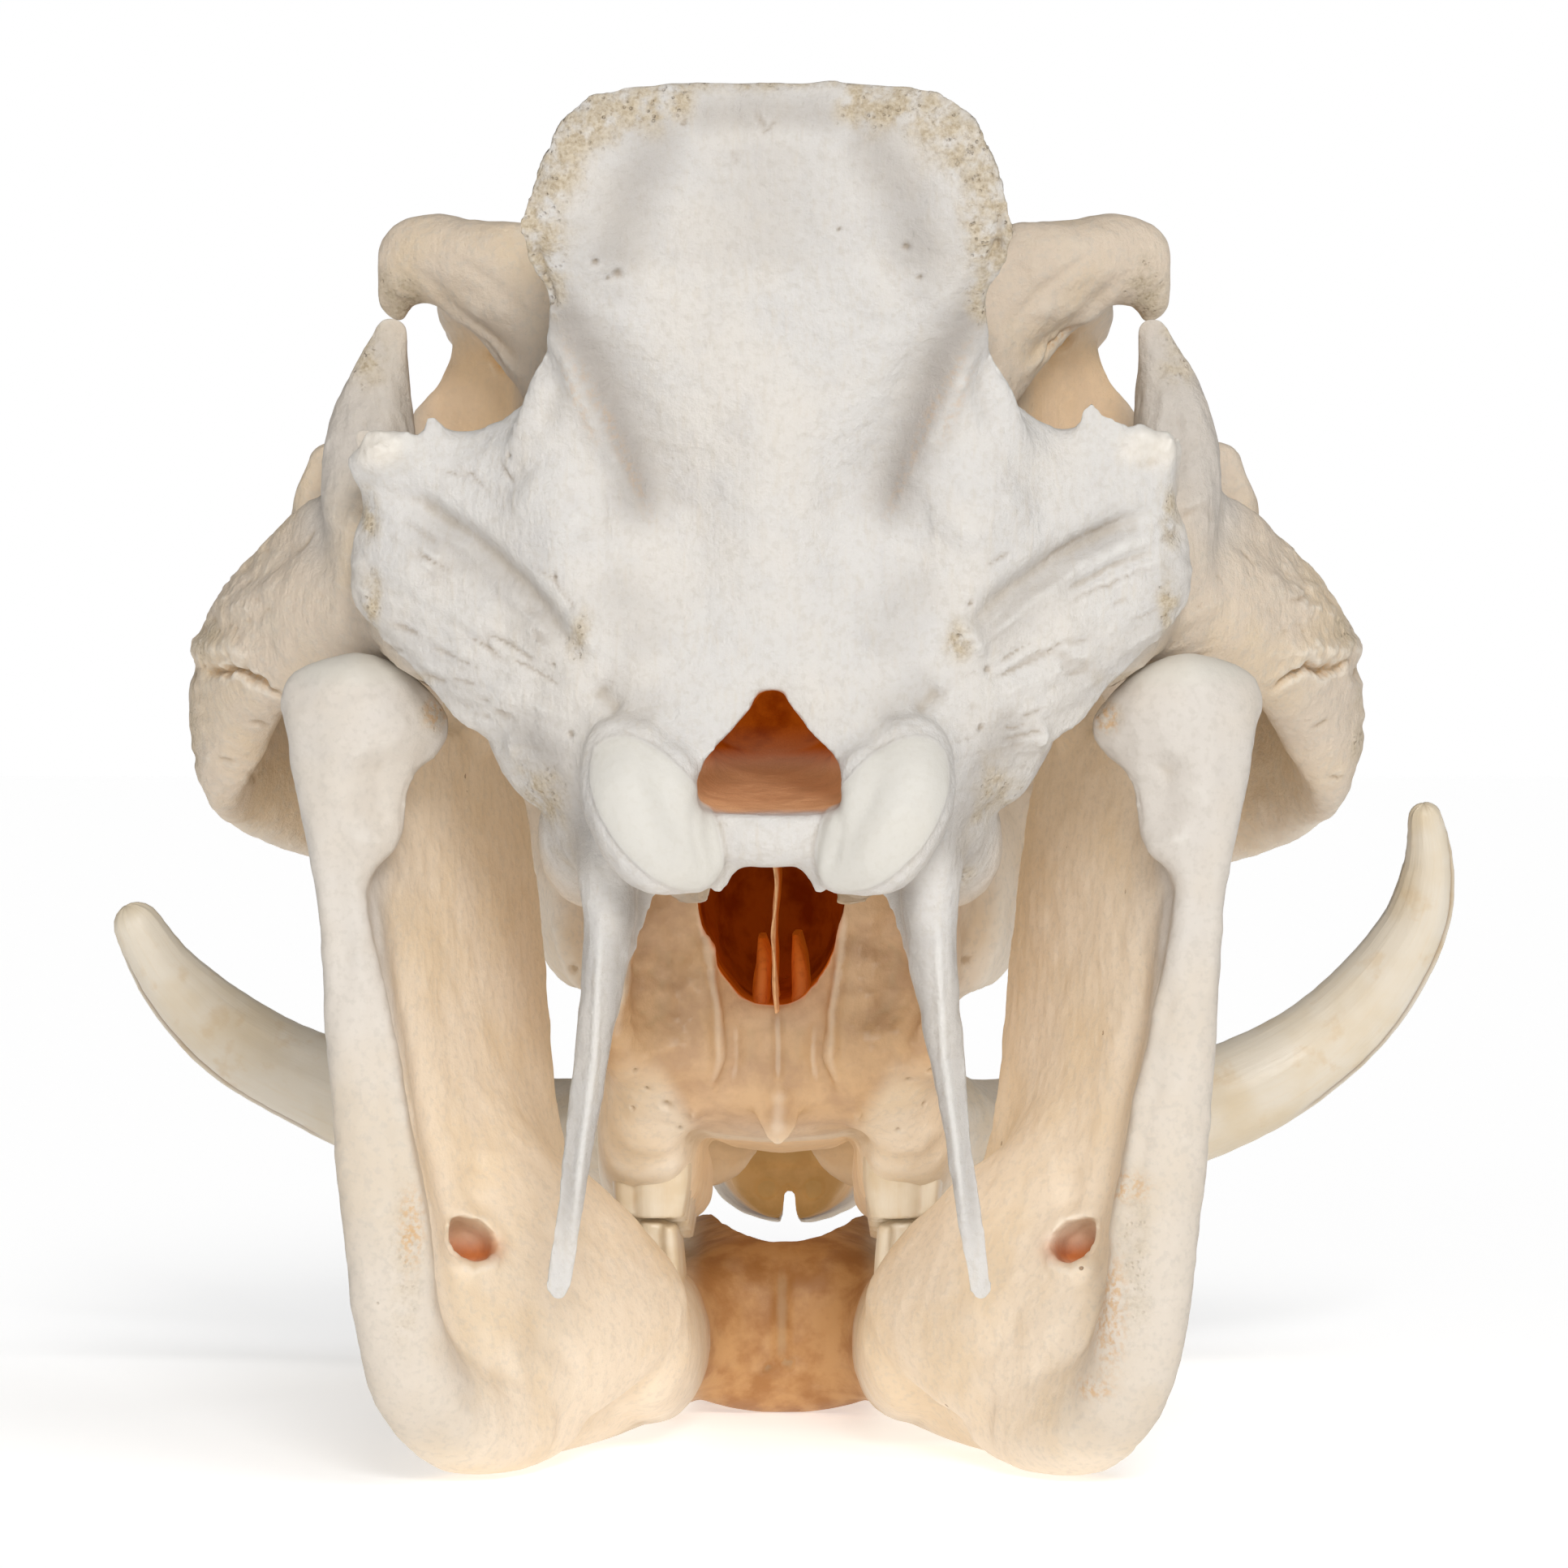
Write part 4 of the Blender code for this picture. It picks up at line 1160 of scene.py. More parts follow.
def build_cranium():
    shapes = occiput() + braincase() + condyles() + cheek_arch() + orbits() + snout() + throat()
    shapes += wing_knobs() + edge_points() + throat_fillers()
    obj = fine_bone("cranium_bone", shapes, cranium_hollows())
    points, normals, marks = prepared(obj, 16, 160, keep_back, 110, soft_corners)
    x, y, z = points.T
    depth = np.zeros(len(points))
    grain = sculpt_back(points, normals, depth, marks)
    sculpt_sides(points, normals, depth, marks)
    sculpt_throat(points, normals, depth, marks)
    porous = porous_places(points) * (1 - marks["smooth"])
    rear = 0.3 + 0.7 * rise(-normals[:, 1], 0.2, 0.7)
    weathered(points, depth, porous * rear, marks["smooth"], 11)
    set_points(obj, points + normals * depth[:, None])
    add_mark(marks, "smooth", 0.8 * mirror_bump(points, (69, 29, 190), (5.5, 9, 3.8)))
    marks["porous"] = porous
    marks["cool"] = rise(-y, -44, -30)
    peak = soft_spot(points, (76, 60, 192), (14, 18, 30))
    add_mark(marks, "cool", 0.6 * peak)
    # Painted shade on the cheek peaks.
    add_mark(marks, "painted_grey_shade", 0.3 * peak)
    head = inside_head(points, normals)
    nose = inside_nose(points, normals)
    floor = head * fall(z, 130, 135)
    # Painted shade: dark orange inside the spinal hole, the brain room and the nose, where only shade
    # falls.
    marks["deep"] = np.maximum(head * (1 - 0.6 * floor), nose)
    # Painted glow: the bone emits light of its own inside the holes of the head and nose, under the
    # snout, low behind the palate, in the eye sockets, on the wing knobs and on the plates of the
    # throat.
    marks["painted_glow"] = head * (0.32 - 0.14 * floor) + nose * (0.4 - 0.32 * rise(y, 92, 114))
    side = np.abs(x)
    low = rise(y, 96, 110) * fall(z, 66, 78) * fall(y, 150, 170)
    socket = soft_spot(points, (54, 90, 197), (13, 22, 16))
    marks["painted_glow"] += 0.24 * under_snout(points) + 0.1 * low * rise(side, 14, 18) + 0.2 * socket
    marks["painted_glow"] += 0.1 * wing_lumps(points)
    plates = between_y(points, 82, 112) * fall(side, 30, 36) * fall(z, 112, 120)
    marks["painted_glow"] += 0.05 * plates * rise(z, 60, 70)
    # Painted warm shade: golden brown under the snout, pinkish on the floor of the brain room, and warm
    # on the plates of the throat and in the eye sockets.
    golden_shade = under_snout(points) * (0.3 + 0.7 * rise(y, 235, 265))
    throat_warm_shade = 0.7 * plates * rise(z - 12 * rise(side, 13, 23), 56, 66) * (1 - nose)
    marks["painted_warm_shade"] = np.maximum(np.maximum(golden_shade, floor), np.maximum(throat_warm_shade, 0.38 * socket))
    marks["pored"] = rise(y, 60, 100) * fall(side, 44, 60)
    return finish_bone(obj, marks, grain, "cranium")


# Lower jaw
JAW_FORMS = (
    ((
        (71.5, 118), (72.5, 108), (71, 96), (69.5, 85), (67, 73), (65, 60), (62.6, 48), (61.6, 35),
        (59, 25),
    ), 1.3, 0.8),
    ((
        (67.5, 116), (69, 106), (67.6, 96), (66, 85), (63.6, 73), (61.4, 60), (58.6, 48), (57.6, 35),
        (55, 26),
    ), 1.8, -1.3),
    (((76, 128), (78, 112), (77, 98), (76, 84)), 2.4, -0.7),
    (((72, 136), (70, 128), (72, 118)), 4.5, -2.2),
    (((62, 147), (70, 150.5), (80, 151)), 3.2, 0.7),
    (((54.6, 48), (54.4, 54), (54, 60)), 3, -1.4),
    (((50, 43), (51.6, 39.4), (55, 38.4), (59, 41.5)), 1.2, 0.9),
    (((44, 90), (42, 70), (38, 50), (34, 36)), 5, 0.5),
    (((54, 34), (48, 22), (40, 12)), 3, 0.5),
    (((49, 40), (42, 26), (34, 16)), 2.5, -0.5),
)
CHIN_FORMS = (
    (((0, 32), (0, 22), (0, 8)), 1.6, -0.9),
    (((-12, 34), (-8, 27), (0, 22)), 3, 0.7),
    (((12, 34), (8, 27), (0, 22)), 3, 0.7),
)
CHIN_HOLES = ((-2.7, 9.8, 0.75), (1.3, 10.6, 0.75))
JAW_STAINS = (
    ((-65, 38, 48), (2.2, 12, 8)), ((64, 38, 56), (5, 12, 3)), ((61, 40, 34), (3.6, 12, 13)),
    ((-60.5, 40, 141.5), (2.6, 9, 3.2)), ((60.5, 40, 140.5), (2.6, 9, 3.2)),
    ((59, 48, 19), (4, 12, 2.5)),
)


def sculpt_jaw(points, normals, depth, marks):
    x, y, z = points.T
    facing = rise(-normals[:, 1], -0.3, 0.25)
    strokes(points, depth, JAW_FORMS, facing * between_y(points, 20, 120), mirror=True)
    chin = facing * between_y(points, 150, 230)
    strokes(points, depth, CHIN_FORMS, chin)
    marks["crack"] = dots(points, depth, CHIN_HOLES, chin)
    knob = mirror_bump(points, (60.5, 40, 141), (3.5, 7, 4))
    knob += 0.4 * mirror_bump(points, (86, 44, 142), (4, 7, 6))
    border = soft_spot(points, (66, 38, 42), (4, 8, 22), 0.3, 0.9)
    marks["porous"] = np.maximum(0.5 * rise(knob, 0.2, 0.8), 0.35 * border)
    stain = np.zeros(len(points))
    for centre, radii in JAW_STAINS:
        stain = np.maximum(stain, bump(points, centre, radii))
    marks["stain"] = 0.85 * rise(stain, 0.1, 0.9)
    # Painted shade on the rearmost faces of the jaw.
    marks["painted_grey_shade"] = 0.24 * fall(y, 46, 54) * facing
    marks["cool"] = rise(-y, -54, -46) * (0.3 + 0.4 * rise(z, 60, 110))
    entry = mirror_bump(points, (56, 70, 42.6), (7, 9, 5))
    # Painted shade inside the nerve hole of the jaw.
    marks["deep"] = 0.95 * rise(entry, 0.2, 0.8) * rise(-z, -48, -40)
    plate = rise(y, 50, 66) * fall(y, 120, 140)
    # Painted glow inside the nerve hole and on the inner plates of the upright branches.
    marks["painted_glow"] = 0.04 * marks["deep"] + plate * (0.07 + 0.08 * rise(z, 30, 60))
    marks["smooth"] = soft_spot(points, (74, 45, 150), (15, 9, 6), 0.25, 0.7)
    # Painted warm shade between the two bodies of the jaw, behind the chin.
    between = rise(y, 150, 185) * fall(np.abs(x), 15, 21)
    marks["painted_warm_shade"] = between
    marks["pored"] = np.ones(len(points))


def keep_entry(points):
    """Where the jaw isn't evened out: round the holes of its nerves."""
    return soft_spot(points, (54.5, 64, 44), (8, 13, 7), 0.2, 0.6)


def soft_bend(points):
    """Where the upright branch and the body of the jaw flow into each other."""
    bend = soft_spot(points, (49, 84, 62), (15, 22, 22), 0.15, 0.6)
    chin = rise(bump(points, (0, 186, 20), (30, 16, 24)), 0.2, 0.6)
    outer = 0.7 * soft_spot(points, (60, 112, 36), (10, 34, 14))
    return np.maximum(np.maximum(bend, outer), chin) * (1 - keep_entry(points))


def build_mandible():
    obj = fine_bone("mandible_bone", lower_jaw() + jaw_fillers(), lower_jaw_hollows())
    points, normals, marks = prepared(obj, 18, 120, keep_entry, 125, soft_bend)
    depth = np.zeros(len(points))
    sculpt_jaw(points, normals, depth, marks)
    weathered(points, depth, marks["porous"], marks["smooth"], 31)
    low = np.where(points[:, 2] < 4, rise(points[:, 2], 0, 4), 1)
    moved = points + normals * (depth * low)[:, None]
    moved[:, 2] = np.maximum(moved[:, 2], FLOOR_GAP)
    set_points(obj, moved)
    return finish_bone(obj, marks, points * (1, 1, 0.15), "mandible")


# Teeth
def tooth_columns(x, first, last, foot, crown, wide, pairs, seed):
    """A long cheek tooth: two lines of columns of uneven width and length, worn to one slope."""
    draw = np.random.default_rng(seed)
    found = []
    for i in range(pairs):
        y = first + (last - first) * (i + 0.5) / pairs
        drop = TOOTH_SLOPE * (y - first)
        reach = 0.60 * (last - first) / pairs
        split = draw.uniform(-0.25, 0.25)
        for side in (-1, 1):
            broad = wide * (0.5 + side * split) + 0.25
            centre = x + side * (wide - broad)
            end = crown + draw.uniform(0, 1.3) * math.copysign(1, foot - crown) - drop
            root = foot - drop
            middle = (root + end) / 2
            back = y + 0.8 * side
            found.append(loft([
                (centre, back, root, broad, reach),
                (centre + side * 0.2, back, middle, broad * draw.uniform(0.96, 1.04), reach),
                (centre - side * 0.3, back, end, broad * 0.88, reach * 0.94),
            ], along=UP, power=2.8, sides=24, cap=0.5))
    return found


def peg(x, y, z, lean_x, lean_y, lean_z, radius):
    return loft([
        (x, y, z, radius, radius),
        (x + lean_x, y + lean_y, z + lean_z, 0.75 * radius, 0.7 * radius),
    ], sides=20, steps=4)


def tooth_piece(name, shapes, paint):
    obj = made(name, shapes)
    melt(obj, TOOTH_VOXEL)
    web = Web(obj)
    points = web.ironed(points_of(obj), 4)
    set_points(obj, points)
    normals = normals_of(obj)
    flutes = noise(points * (1, 1, 0.12), 1.5, 51)
    set_points(obj, points + normals * (0.12 * flutes)[:, None])
    points = points_of(obj)
    store(obj, "grain", points * (1, 1, 0.12) * MM)
    # How far each point lies in a dip, for the painted shade there.
    dip = hollowness(Web(obj), points, normals_of(obj), SMALL_DIP_TIMES)
    store(obj, "dip", np.clip(4 * dip, -1, 1))
    smooth_shaded(obj)
    obj.data.materials.append(paint)
    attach(obj, "root")
    return obj


def build_teeth(paint):
    for word, turn in (("right", list), ("left", lambda shapes: [mirrored(shape) for shape in shapes])):
        upper = tooth_columns(24, 120, 188, 60, 44.3, 7.3, 8, 3)
        tooth_piece("upper_molars_" + word, turn(upper), paint)
        lower = tooth_columns(22.8, 121, 189, 26, 44, 4.2, 8, 5)
        tooth_piece("lower_molars_" + word, turn(lower), paint)
    front = both(*[peg(4 + 7 * i, 316 - 3 * i, 18 + i, 1 + i, 16, 1.5, 3.2) for i in range(3)])
    tooth_piece("lower_incisors", front, paint)


# Tusks
UPPER_ROOT = (
    (34, 252, 50.5, 9.5, 9.8), (48, 261, 50, 10, 10.3), (66, 271, 51, 10, 11), (86, 279, 56, 9.6, 11),
)
UPPER_RIGHT = UPPER_ROOT + (
    (105, 282, 65, 9, 10), (119, 281, 77, 8, 9), (129, 277, 92, 6.4, 7.2),
    (132, 272, 105, 4.8, 5.4), (131, 267, 116, 3, 3.4),
)
UPPER_LEFT = UPPER_ROOT + (
    (104, 282, 63, 9, 9.8), (117, 281, 71, 8, 9), (128, 278, 82, 6.6, 7),
    (134.5, 275, 93, 5, 5),
)
LOWER = (
    (30, 270, 20, 7.5, 8), (40, 284, 26, 8, 8.5), (50, 295, 35, 7, 7.5),
    (60, 302, 46, 5.5, 5.5), (68, 305, 57, 3.5, 3.5), (72, 305, 65, 1.5, 1.5),
)
TUSK_SIDES = 72


def tusk_piece(name, node, rows, turn, paint, line_from, line_to, line_turn):
    """A tusk with fine flutes, growth rings and one dark line along it."""
    points, faces = loft(rows, side=FORWARD, sides=TUSK_SIDES, steps=14)
    obj = made(name, [turn((points, faces))])
    place = points_of(obj)
    normals = normals_of(obj)
    index = np.arange(len(place))
    ring = index // TUSK_SIDES
    turn_of = (index % TUSK_SIDES) / TUSK_SIDES
    share = ring / ring.max()
    angle = 2 * math.pi * turn_of
    grain = np.stack((np.cos(angle) * 9, np.sin(angle) * 9, share * 12), axis=1)
    wave = 0.012 * noise(grain * (0, 0, 1), 1.6, 83)
    off = np.abs((turn_of - line_turn + wave + 0.5) % 1 - 0.5) * TUSK_SIDES
    ends = rise(share, line_from, line_from + 0.08) * rise(line_to - share, 0, 0.08)
    line = np.exp(-(off / 1.1) ** 2) * ends
    depth = 0.16 * rough_noise(grain, 2.4, 81, 2)
    depth += 0.07 * noise(np.stack((share * 90, angle * 0, angle * 0), axis=1), 1.0, 82)
    depth -= 0.7 * line
    depth -= 0.35 * np.exp(-(off / 5.0) ** 2) * ends
    set_points(obj, place + normals * depth[:, None])
    store(obj, "grain", grain * MM)
    store(obj, "line", line)
    store(obj, "share", share)
    smooth_shaded(obj)
    obj.data.materials.append(paint)
    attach(obj, "root")
    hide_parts(node)
    return obj


def build_tusks(paint):
    for kind, rows, start, stop, turn in (
        ("upper_tusk_right", UPPER_RIGHT, 0.45, 0.93, 0.70),
        ("upper_tusk_left", UPPER_LEFT, 0.45, 0.93, 0.70),
        ("lower_tusk_right", LOWER, 0.3, 0.7, 0.2),
        ("lower_tusk_left", LOWER, 0.3, 0.7, 0.2),
    ):
        turned = mirrored if kind.endswith("left") else (lambda shape: shape)
        tusk_piece(kind + "_ivory", kind, rows, turned, paint, start, stop, turn)


# Thin bones inside the nose
INNER_PLATES = (
    ("vomer", (
        (-0.4, 108, 116, 0.4, 30), (0.3, 108, 108, 0.35, 30), (-0.3, 108, 98, 0.35, 28),
        (0.2, 107, 85, 0.45, 24),
    )),
    ("scroll_left", (
        (-2.8, 118, 98, 0.7, 12), (-2.4, 118, 94, 1.3, 16), (-2.7, 118, 88, 1.5, 18),
        (-2.5, 118, 83, 1.4, 18),
    )),
    ("scroll_right", (
        (3.8, 118, 98.6, 0.7, 12), (4.4, 118, 94, 1.5, 16), (4.7, 118, 88, 1.7, 18),
        (3.8, 118, 83, 1.4, 18),
    )),
)


def inner_plates(paint):
    """The thin upright plate between the two airways and a scroll on each side of it."""
    for name, rows in INNER_PLATES:
        obj = made(name, [loft(rows, along=UP, power=4, sides=40, steps=8, cap=0.6)])
        points = points_of(obj)
        points[:, 0] += 0.35 * noise(points, 5, 91)
        set_points(obj, points)
        # How far into the nose, for the plates' painted orange shade and glow.
        store(obj, "edge", rise(points[:, 1], 70, 108))
        smooth_shaded(obj)
        obj.data.materials.append(paint)
        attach(obj, "root")


# Materials
# Painted glow: how much light the thin plates in the nose and the teeth emit of their own.
PLATE_GLOW = 0.16
TOOTH_GLOW = 0.03


class Paint:
    """The nodes of one material."""

    def __init__(self, name, roughness):
        self.material = bpy.data.materials.new(name)
        self.material.use_nodes = True
        self.tree = self.material.node_tree
        self.shader = self.tree.nodes["Principled BSDF"]
        self.shader.inputs["Roughness"].default_value = roughness
        self.place = self.tree.nodes.new("ShaderNodeTexCoord").outputs["Object"]

    def put(self, socket, value):
        if isinstance(value, bpy.types.NodeSocket):
            self.tree.links.new(value, socket)
        elif isinstance(value, tuple) and len(value) == 3 and socket.type == "RGBA":
            socket.default_value = (*value, 1)
        else:
            socket.default_value = value

    def node(self, kind, inputs, output, **settings):
        made_node = self.tree.nodes.new(kind)
        for name, value in settings.items():
            setattr(made_node, name, value)
        for name, value in inputs.items():
            self.put(made_node.inputs[name], value)
        return made_node.outputs[output]

    def stored(self, name, output="Fac"):
        return self.node("ShaderNodeAttribute", {}, output, attribute_name=name)

    def spots(self, size, detail=3.0, vector=None, rough=0.55):
        """Noise with lumps of that many millimetres."""
        inputs = {"Vector": vector or self.place, "Scale": 1 / (size * MM)}
        inputs.update({"Detail": detail, "Roughness": rough})
        return self.node("ShaderNodeTexNoise", inputs, "Fac")

    def cells(self, size):
        inputs = {"Vector": self.place, "Scale": 1 / (size * MM)}
        return self.node("ShaderNodeTexVoronoi", inputs, "Distance")

    def between(self, value, low, high):
        inputs = {"Value": value, "From Min": low, "From Max": high}
        return self.node("ShaderNodeMapRange", inputs, "Result", interpolation_type="SMOOTHSTEP")

    def sum_of(self, kind, one, other):
        return self.node("ShaderNodeMath", {0: one, 1: other}, "Value", operation=kind)

    def times(self, one, other):
        return self.sum_of("MULTIPLY", one, other)

    def plus(self, one, other):
        return self.sum_of("ADD", one, other)

    def mix(self, share, one, other):
        return self.node("ShaderNodeMix", {0: share, 6: one, 7: other}, 2, data_type="RGBA")

    def tint(self, colour, share, amount, other):
        """A colour that another one covers by that amount, as far as its share goes."""
        return self.mix(self.times(share, amount), colour, other)

    def bumped(self, height, distance, strength=1.0, normal=None):
        inputs = {"Height": height, "Distance": distance * MM, "Strength": strength}
        if normal:
            inputs["Normal"] = normal
        return self.node("ShaderNodeBump", inputs, "Normal")

    def finish(self, colour=None, roughness=None, normal=None):
        for name, value in (("Base Color", colour), ("Roughness", roughness), ("Normal", normal)):
            if value is not None:
                self.put(self.shader.inputs[name], value)
        return self.material


def shade(red, green, blue):
    """A colour from its values as seen on a screen, from 0 to 255."""
    return tuple((value / 255) ** 2.2 for value in (red, green, blue))


def bone_paint():
    paint = Paint("bone_finish", 0.62)
    cool = paint.stored("cool")
    dip = paint.stored("dip")
    porous = paint.stored("porous")
    painted_warm_shade = paint.stored("painted_warm_shade")
    grain = paint.stored("grain", "Vector")
    broad = paint.spots(24, 3)
    middle = paint.spots(7, 4)
    fine = paint.spots(1.4, 4)
    fibre = paint.spots(1.2, 4, grain)
    pored = paint.stored("pored")
    smooth = paint.stored("smooth")
    calm = paint.times(paint.between(smooth, 1.0, 0.0), paint.between(pored, 1.35, 0.0))
    colour = paint.mix(pored, shade(208, 191, 171), shade(224, 209, 189))
    colour = paint.mix(cool, colour, shade(206, 202, 197))
    patch = paint.mix(cool, shade(214, 190, 154), shade(213, 205, 194))
    colour = paint.tint(colour, paint.between(broad, 0.42, 0.66), 0.5, patch)
    patch = paint.mix(cool, shade(212, 199, 178), shade(194, 190, 187))
    colour = paint.tint(colour, paint.between(middle, 0.5, 0.75), 0.35, patch)
    fibres = paint.times(paint.between(fibre, 0.5, 0.8), paint.times(calm, 0.28))
    colour = paint.mix(fibres, colour, shade(196, 182, 160))
    colour = paint.tint(colour, paint.between(fine, 0.48, 0.66), 0.3, shade(188, 180, 168))
    # Painted warm shade: a golden brown where its mark is set.
    golden_shade = paint.mix(paint.between(middle, 0.36, 0.64), shade(196, 152, 102), shade(168, 120, 72))
    colour = paint.mix(painted_warm_shade, colour, golden_shade)
    # Painted shade: grey where its mark is set.
    colour = paint.tint(colour, paint.stored("painted_grey_shade"), 0.8, shade(152, 144, 136))
    # Painted shade in dips: darker where the surface lies in a hollow.
    hollow = paint.mix(cool, shade(178, 150, 114), shade(168, 156, 140))
    colour = paint.tint(colour, paint.between(dip, 0.05, 0.85), 0.6, hollow)
    ridge = paint.mix(cool, shade(236, 228, 214), shade(224, 221, 215))
    ridge_share = paint.times(paint.between(dip, -0.08, -0.7), paint.between(painted_warm_shade, 1.4, 0.0))
    colour = paint.tint(colour, ridge_share, 0.4, ridge)
    tan = paint.times(porous, paint.between(paint.spots(3.2, 5), 0.28, 0.62))
    specks = paint.between(paint.spots(0.7, 5), 0.3, 0.7)
    earth = paint.mix(specks, shade(198, 184, 160), shade(170, 152, 124))
    colour = paint.tint(colour, tan, 0.9, earth)
    grit = paint.times(porous, paint.between(paint.spots(1.0, 4), 0.5, 0.72))
    colour = paint.tint(colour, grit, 0.4, shade(158, 138, 108))
    pits = paint.between(paint.cells(1.1), 0.36, 0.1)
    pits = paint.times(pits, paint.times(porous, paint.between(paint.spots(2.4, 2), 0.48, 0.62)))
    colour = paint.tint(colour, pits, 0.3, shade(146, 120, 88))
    stain = paint.times(paint.stored("stain"), paint.between(paint.spots(1.1, 4), 0.4, 0.66))
    colour = paint.tint(colour, stain, 0.75, shade(200, 152, 92))
    pores = paint.between(paint.cells(8.5), 0.06, 0.03)
    pores = paint.times(pores, paint.between(paint.spots(30, 1), 0.5, 0.58))
    pores = paint.times(pores, pored)
    colour = paint.tint(colour, pores, 0.75, shade(130, 92, 56))
    colour = paint.tint(colour, paint.stored("crack"), 0.35, shade(142, 120, 94))
    # Painted shade inside holes: dark orange deep in, pinkish on the floor of the brain room.
    inside = paint.mix(paint.between(middle, 0.4, 0.7), shade(176, 92, 24), shade(140, 62, 10))
    inside = paint.mix(painted_warm_shade, inside, shade(204, 158, 134))
    colour = paint.mix(paint.stored("deep"), colour, inside)
    colour = paint.tint(colour, smooth, 0.6, shade(203, 199, 188))
    relief = paint.times(paint.spots(3.4, 7, None, 0.66), calm)
    normal = paint.bumped(relief, 1.0, 0.7)
    height = paint.plus(paint.times(fibre, calm), paint.times(fine, 0.6))
    normal = paint.bumped(height, 0.3, 0.6, normal)
    normal = paint.bumped(paint.times(grit, paint.spots(1.2, 5, None, 0.7)), 0.45, 0.55, normal)
    normal = paint.bumped(paint.plus(pits, pores), -0.45, 0.8, normal)
    roughness = paint.plus(0.5, paint.plus(paint.times(fine, 0.12), paint.times(porous, 0.25)))
    # Painted glow: the bone emits cream or orange light of its own where its mark is set.
    glow = paint.mix(painted_warm_shade, shade(236, 206, 164), shade(236, 186, 112))
    glow = paint.mix(paint.stored("deep"), glow, inside)
    paint.put(paint.shader.inputs["Emission Color"], glow)
    paint.put(paint.shader.inputs["Emission Strength"], paint.stored("painted_glow"))
    shine = paint.between(paint.stored("deep"), 1.2, 0.0)
    paint.put(paint.shader.inputs["Specular IOR Level"], paint.times(shine, 0.45))
    return paint.finish(colour, roughness, normal)


def enamel_paint():
    paint = Paint("enamel_finish", 0.32)
    grain = paint.stored("grain", "Vector")
    streak = paint.spots(1.4, 4, grain)
    broad = paint.between(paint.spots(9, 3), 0.4, 0.65)
    colour = paint.mix(broad, shade(224, 212, 190), shade(214, 196, 166))
    colour = paint.tint(colour, paint.between(streak, 0.52, 0.8), 0.35, shade(214, 192, 156))
    # Painted shade: brown in the dips between the columns of the teeth.
    colour = paint.tint(colour, paint.between(paint.stored("dip"), 0.15, 0.9), 0.7, shade(176, 136, 88))
    roughness = paint.plus(0.26, paint.times(streak, 0.2))
    # Painted glow: the teeth emit a little light of their own.
    paint.shader.inputs["Emission Color"].default_value = (*shade(240, 220, 190), 1)
    paint.shader.inputs["Emission Strength"].default_value = TOOTH_GLOW
    return paint.finish(colour, roughness, paint.bumped(streak, 0.25, 0.5))


def ivory_paint():
    paint = Paint("ivory_finish", 0.38)
    grain = paint.stored("grain", "Vector")
    streak = paint.spots(1.1, 4, grain)
    share = paint.stored("share")
    broad = paint.between(paint.spots(22, 3), 0.4, 0.65)
    colour = paint.mix(broad, shade(214, 204, 187), shade(207, 191, 164))
    colour = paint.tint(colour, paint.between(streak, 0.5, 0.8), 0.28, shade(210, 188, 154))
    colour = paint.tint(colour, paint.between(share, 0.5, 0.15), 0.4, shade(214, 190, 150))
    blotch = paint.between(paint.spots(6, 4), 0.56, 0.72)
    colour = paint.tint(colour, blotch, 0.35, shade(196, 166, 122))
    colour = paint.tint(colour, paint.stored("line"), 0.85, shade(128, 96, 60))
    roughness = paint.plus(0.3, paint.times(streak, 0.22))
    return paint.finish(colour, roughness, paint.bumped(streak, 0.25, 0.45))


def plate_paint():
    paint = Paint("thin_bone_finish", 0.6)
    fine = paint.spots(1.8, 4)
    # Painted shade and glow: cream towards the rear, orange deeper in the nose, and the plates emit
    # light in that colour.
    colour = paint.mix(paint.stored("edge"), shade(226, 186, 140), shade(214, 118, 34))
    colour = paint.tint(colour, paint.between(fine, 0.45, 0.7), 0.4, shade(150, 72, 20))
    paint.put(paint.shader.inputs["Emission Color"], colour)
    paint.shader.inputs["Emission Strength"].default_value = PLATE_GLOW
    return paint.finish(colour, None, paint.bumped(fine, 0.3, 0.5))


def floor_paint():
    paint = Paint("floor_finish", 0.75)
    paint.shader.inputs["Base Color"].default_value = (FLOOR_WHITE, FLOOR_WHITE, FLOOR_WHITE, 1)
    paint.shader.inputs["Specular IOR Level"].default_value = 0.1
    paint.shader.inputs["Emission Color"].default_value = (1, 1, 1, 1)
    paint.shader.inputs["Emission Strength"].default_value = FLOOR_GLOW
    return paint.material


# Floor, light and camera
FLOOR_GLOW = 0.48
FLOOR_WHITE = 0.9
WORLD_LIGHT = 0.22
FLOOR_HALF = 5.0
LIGHTS = (("key", 24, 48, 0.64, 26), ("front", 7, 24, 1.5, 14), ("fill", -4, 3, 0.66, 40))
CAMERA_DISTANCE = 1.6
CAMERA_DOWN = math.radians(1.5)
CAMERA_YAW = math.radians(0.8)
CAMERA_ASIDE = 0.003
CAMERA_RISE = 0.1716
PHOTO_SIDE = 1932
FOCAL_PIXELS = 11189
SENSOR = 36


def build_floor():
    mesh = bpy.data.meshes.new("floor")
    corners = [(x * FLOOR_HALF, y * FLOOR_HALF, 0) for x, y in ((-1, -1), (1, -1), (1, 1), (-1, 1))]
    mesh.from_pydata(corners, [], [(0, 1, 2, 3)])
    floor = added("floor", mesh)
    mesh.materials.append(floor_paint())


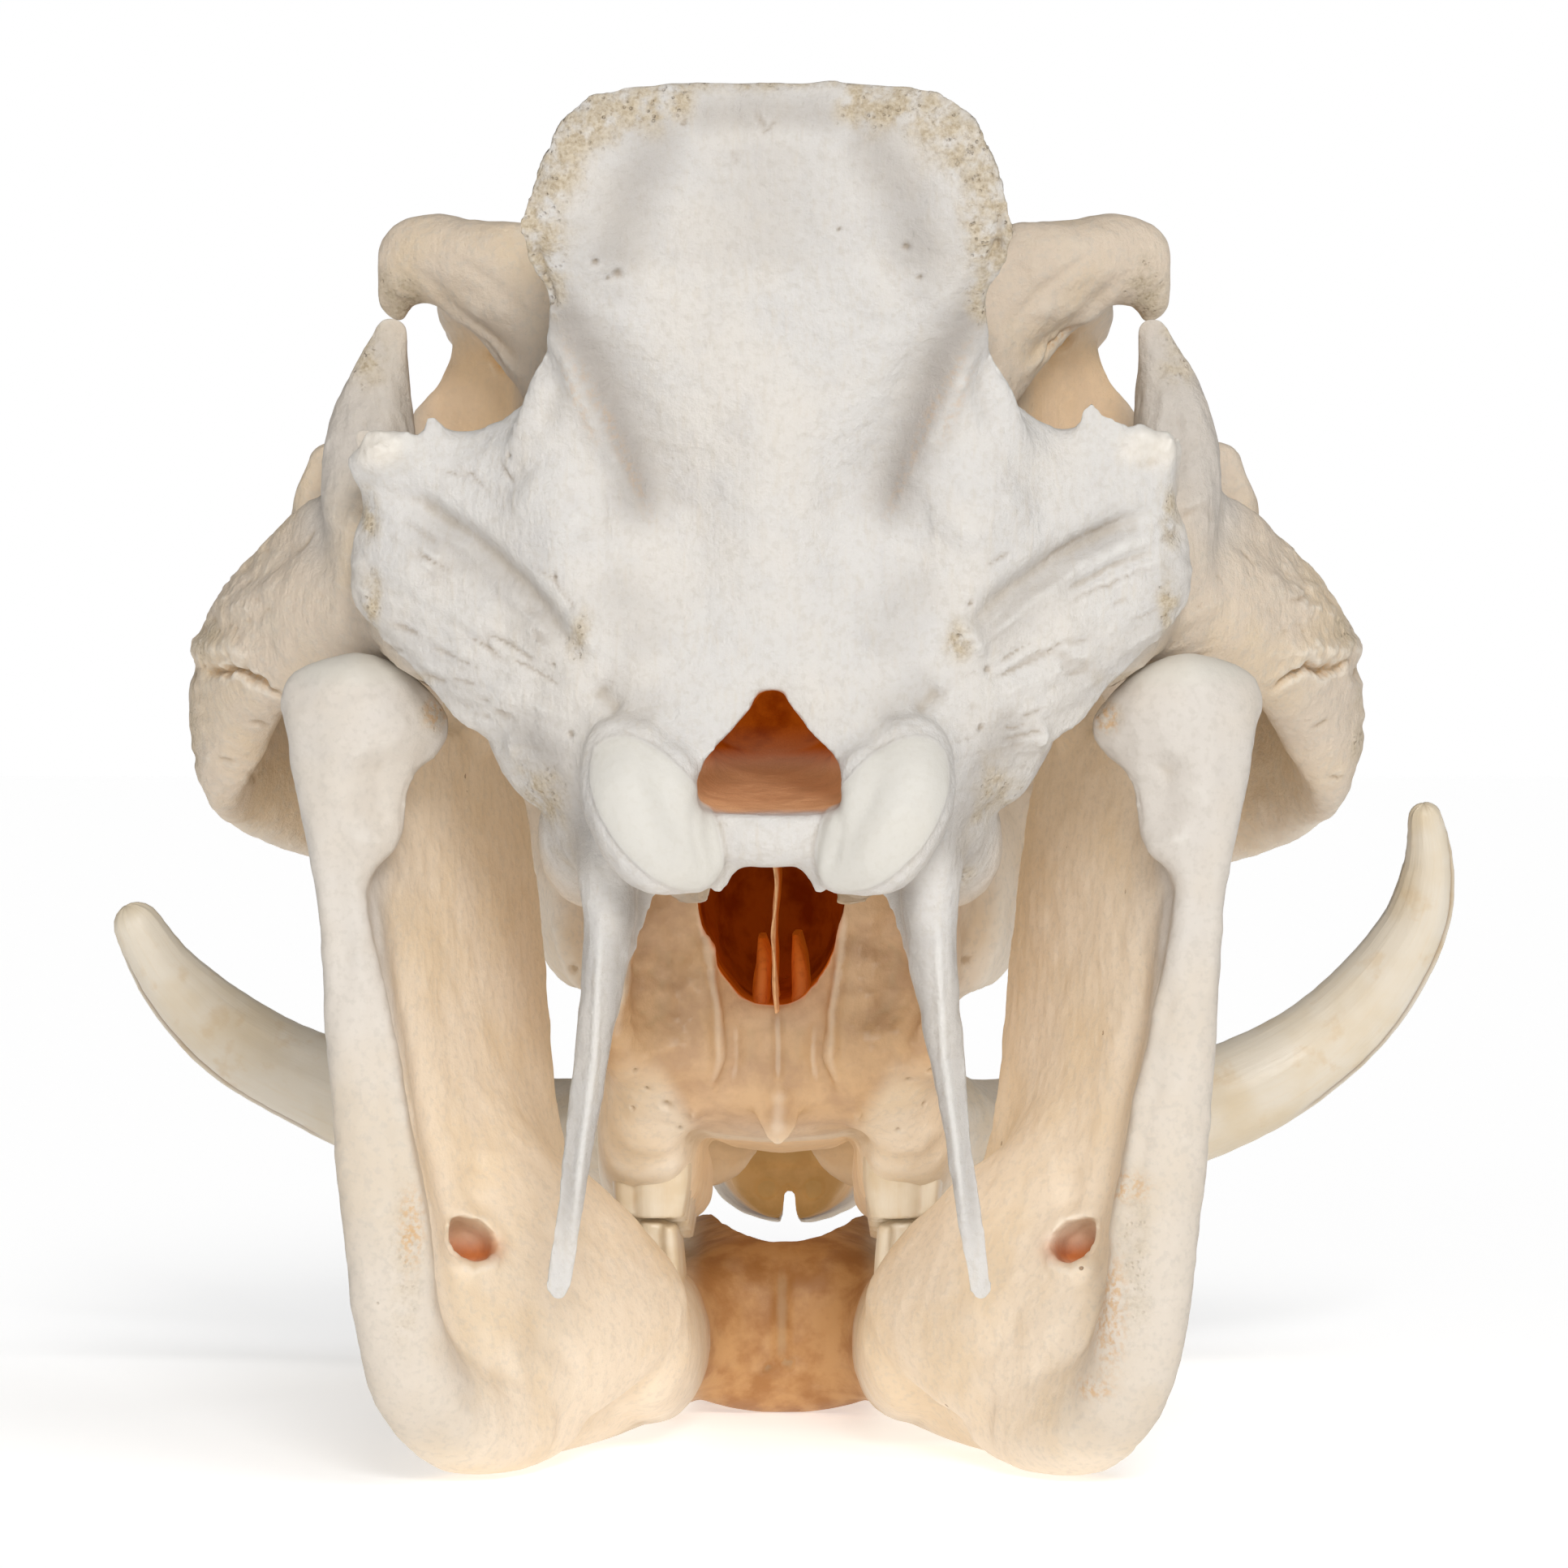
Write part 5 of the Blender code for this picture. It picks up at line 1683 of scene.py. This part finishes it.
def soft_light(name, side, height, power, wide):
    """A wide light from a direction in degrees: to the right of the camera and above the floor."""
    lamp = bpy.data.lights.new(name, "SUN")
    lamp.energy = power
    lamp.angle = math.radians(wide)
    obj = added(name, lamp)
    level = math.cos(math.radians(height))
    source = Vector((
        math.sin(math.radians(side)) * level,
        -math.cos(math.radians(side)) * level,
        math.sin(math.radians(height)),
    ))
    obj.rotation_euler = (-source).to_track_quat("-Z", "Y").to_euler()


def build_light():
    world = bpy.data.worlds.new("studio")
    bpy.context.scene.world = world
    world.use_nodes = True
    tree = world.node_tree
    around = tree.nodes["Background"]
    around.inputs["Color"].default_value = (1, 1, 1, 1)
    around.inputs["Strength"].default_value = WORLD_LIGHT
    behind = tree.nodes.new("ShaderNodeBackground")
    behind.inputs["Color"].default_value = (1, 1, 1, 1)
    mixed = tree.nodes.new("ShaderNodeMixShader")
    tree.links.new(tree.nodes.new("ShaderNodeLightPath").outputs["Is Camera Ray"], mixed.inputs[0])
    tree.links.new(around.outputs[0], mixed.inputs[1])
    tree.links.new(behind.outputs[0], mixed.inputs[2])
    tree.links.new(mixed.outputs[0], tree.nodes["World Output"].inputs["Surface"])
    for row in LIGHTS:
        soft_light(*row)
    bpy.context.scene.view_settings.view_transform = "Standard"


def build_camera():
    forward = Vector((
        -math.sin(CAMERA_YAW) * math.cos(CAMERA_DOWN),
        math.cos(CAMERA_YAW) * math.cos(CAMERA_DOWN),
        -math.sin(CAMERA_DOWN),
    ))
    height = CAMERA_RISE - CAMERA_DISTANCE * math.sin(CAMERA_DOWN)
    target = Vector((CAMERA_ASIDE, -MIDDLE_Y * MM, height))
    lens = bpy.data.cameras.new("camera")
    lens.sensor_width = SENSOR
    lens.lens = SENSOR * FOCAL_PIXELS / PHOTO_SIDE
    camera = added("camera", lens)
    camera.location = target - forward * CAMERA_DISTANCE
    camera.rotation_euler = forward.to_track_quat("-Z", "Y").to_euler()
    bpy.context.scene.camera = camera


def build():
    build_camera()
    build_floor()
    build_light()
    bone = bone_paint()
    for obj in (build_cranium(), build_mandible()):
        obj.data.materials.append(bone)
    build_teeth(enamel_paint())
    build_tusks(ivory_paint())
    inner_plates(plate_paint())


build()
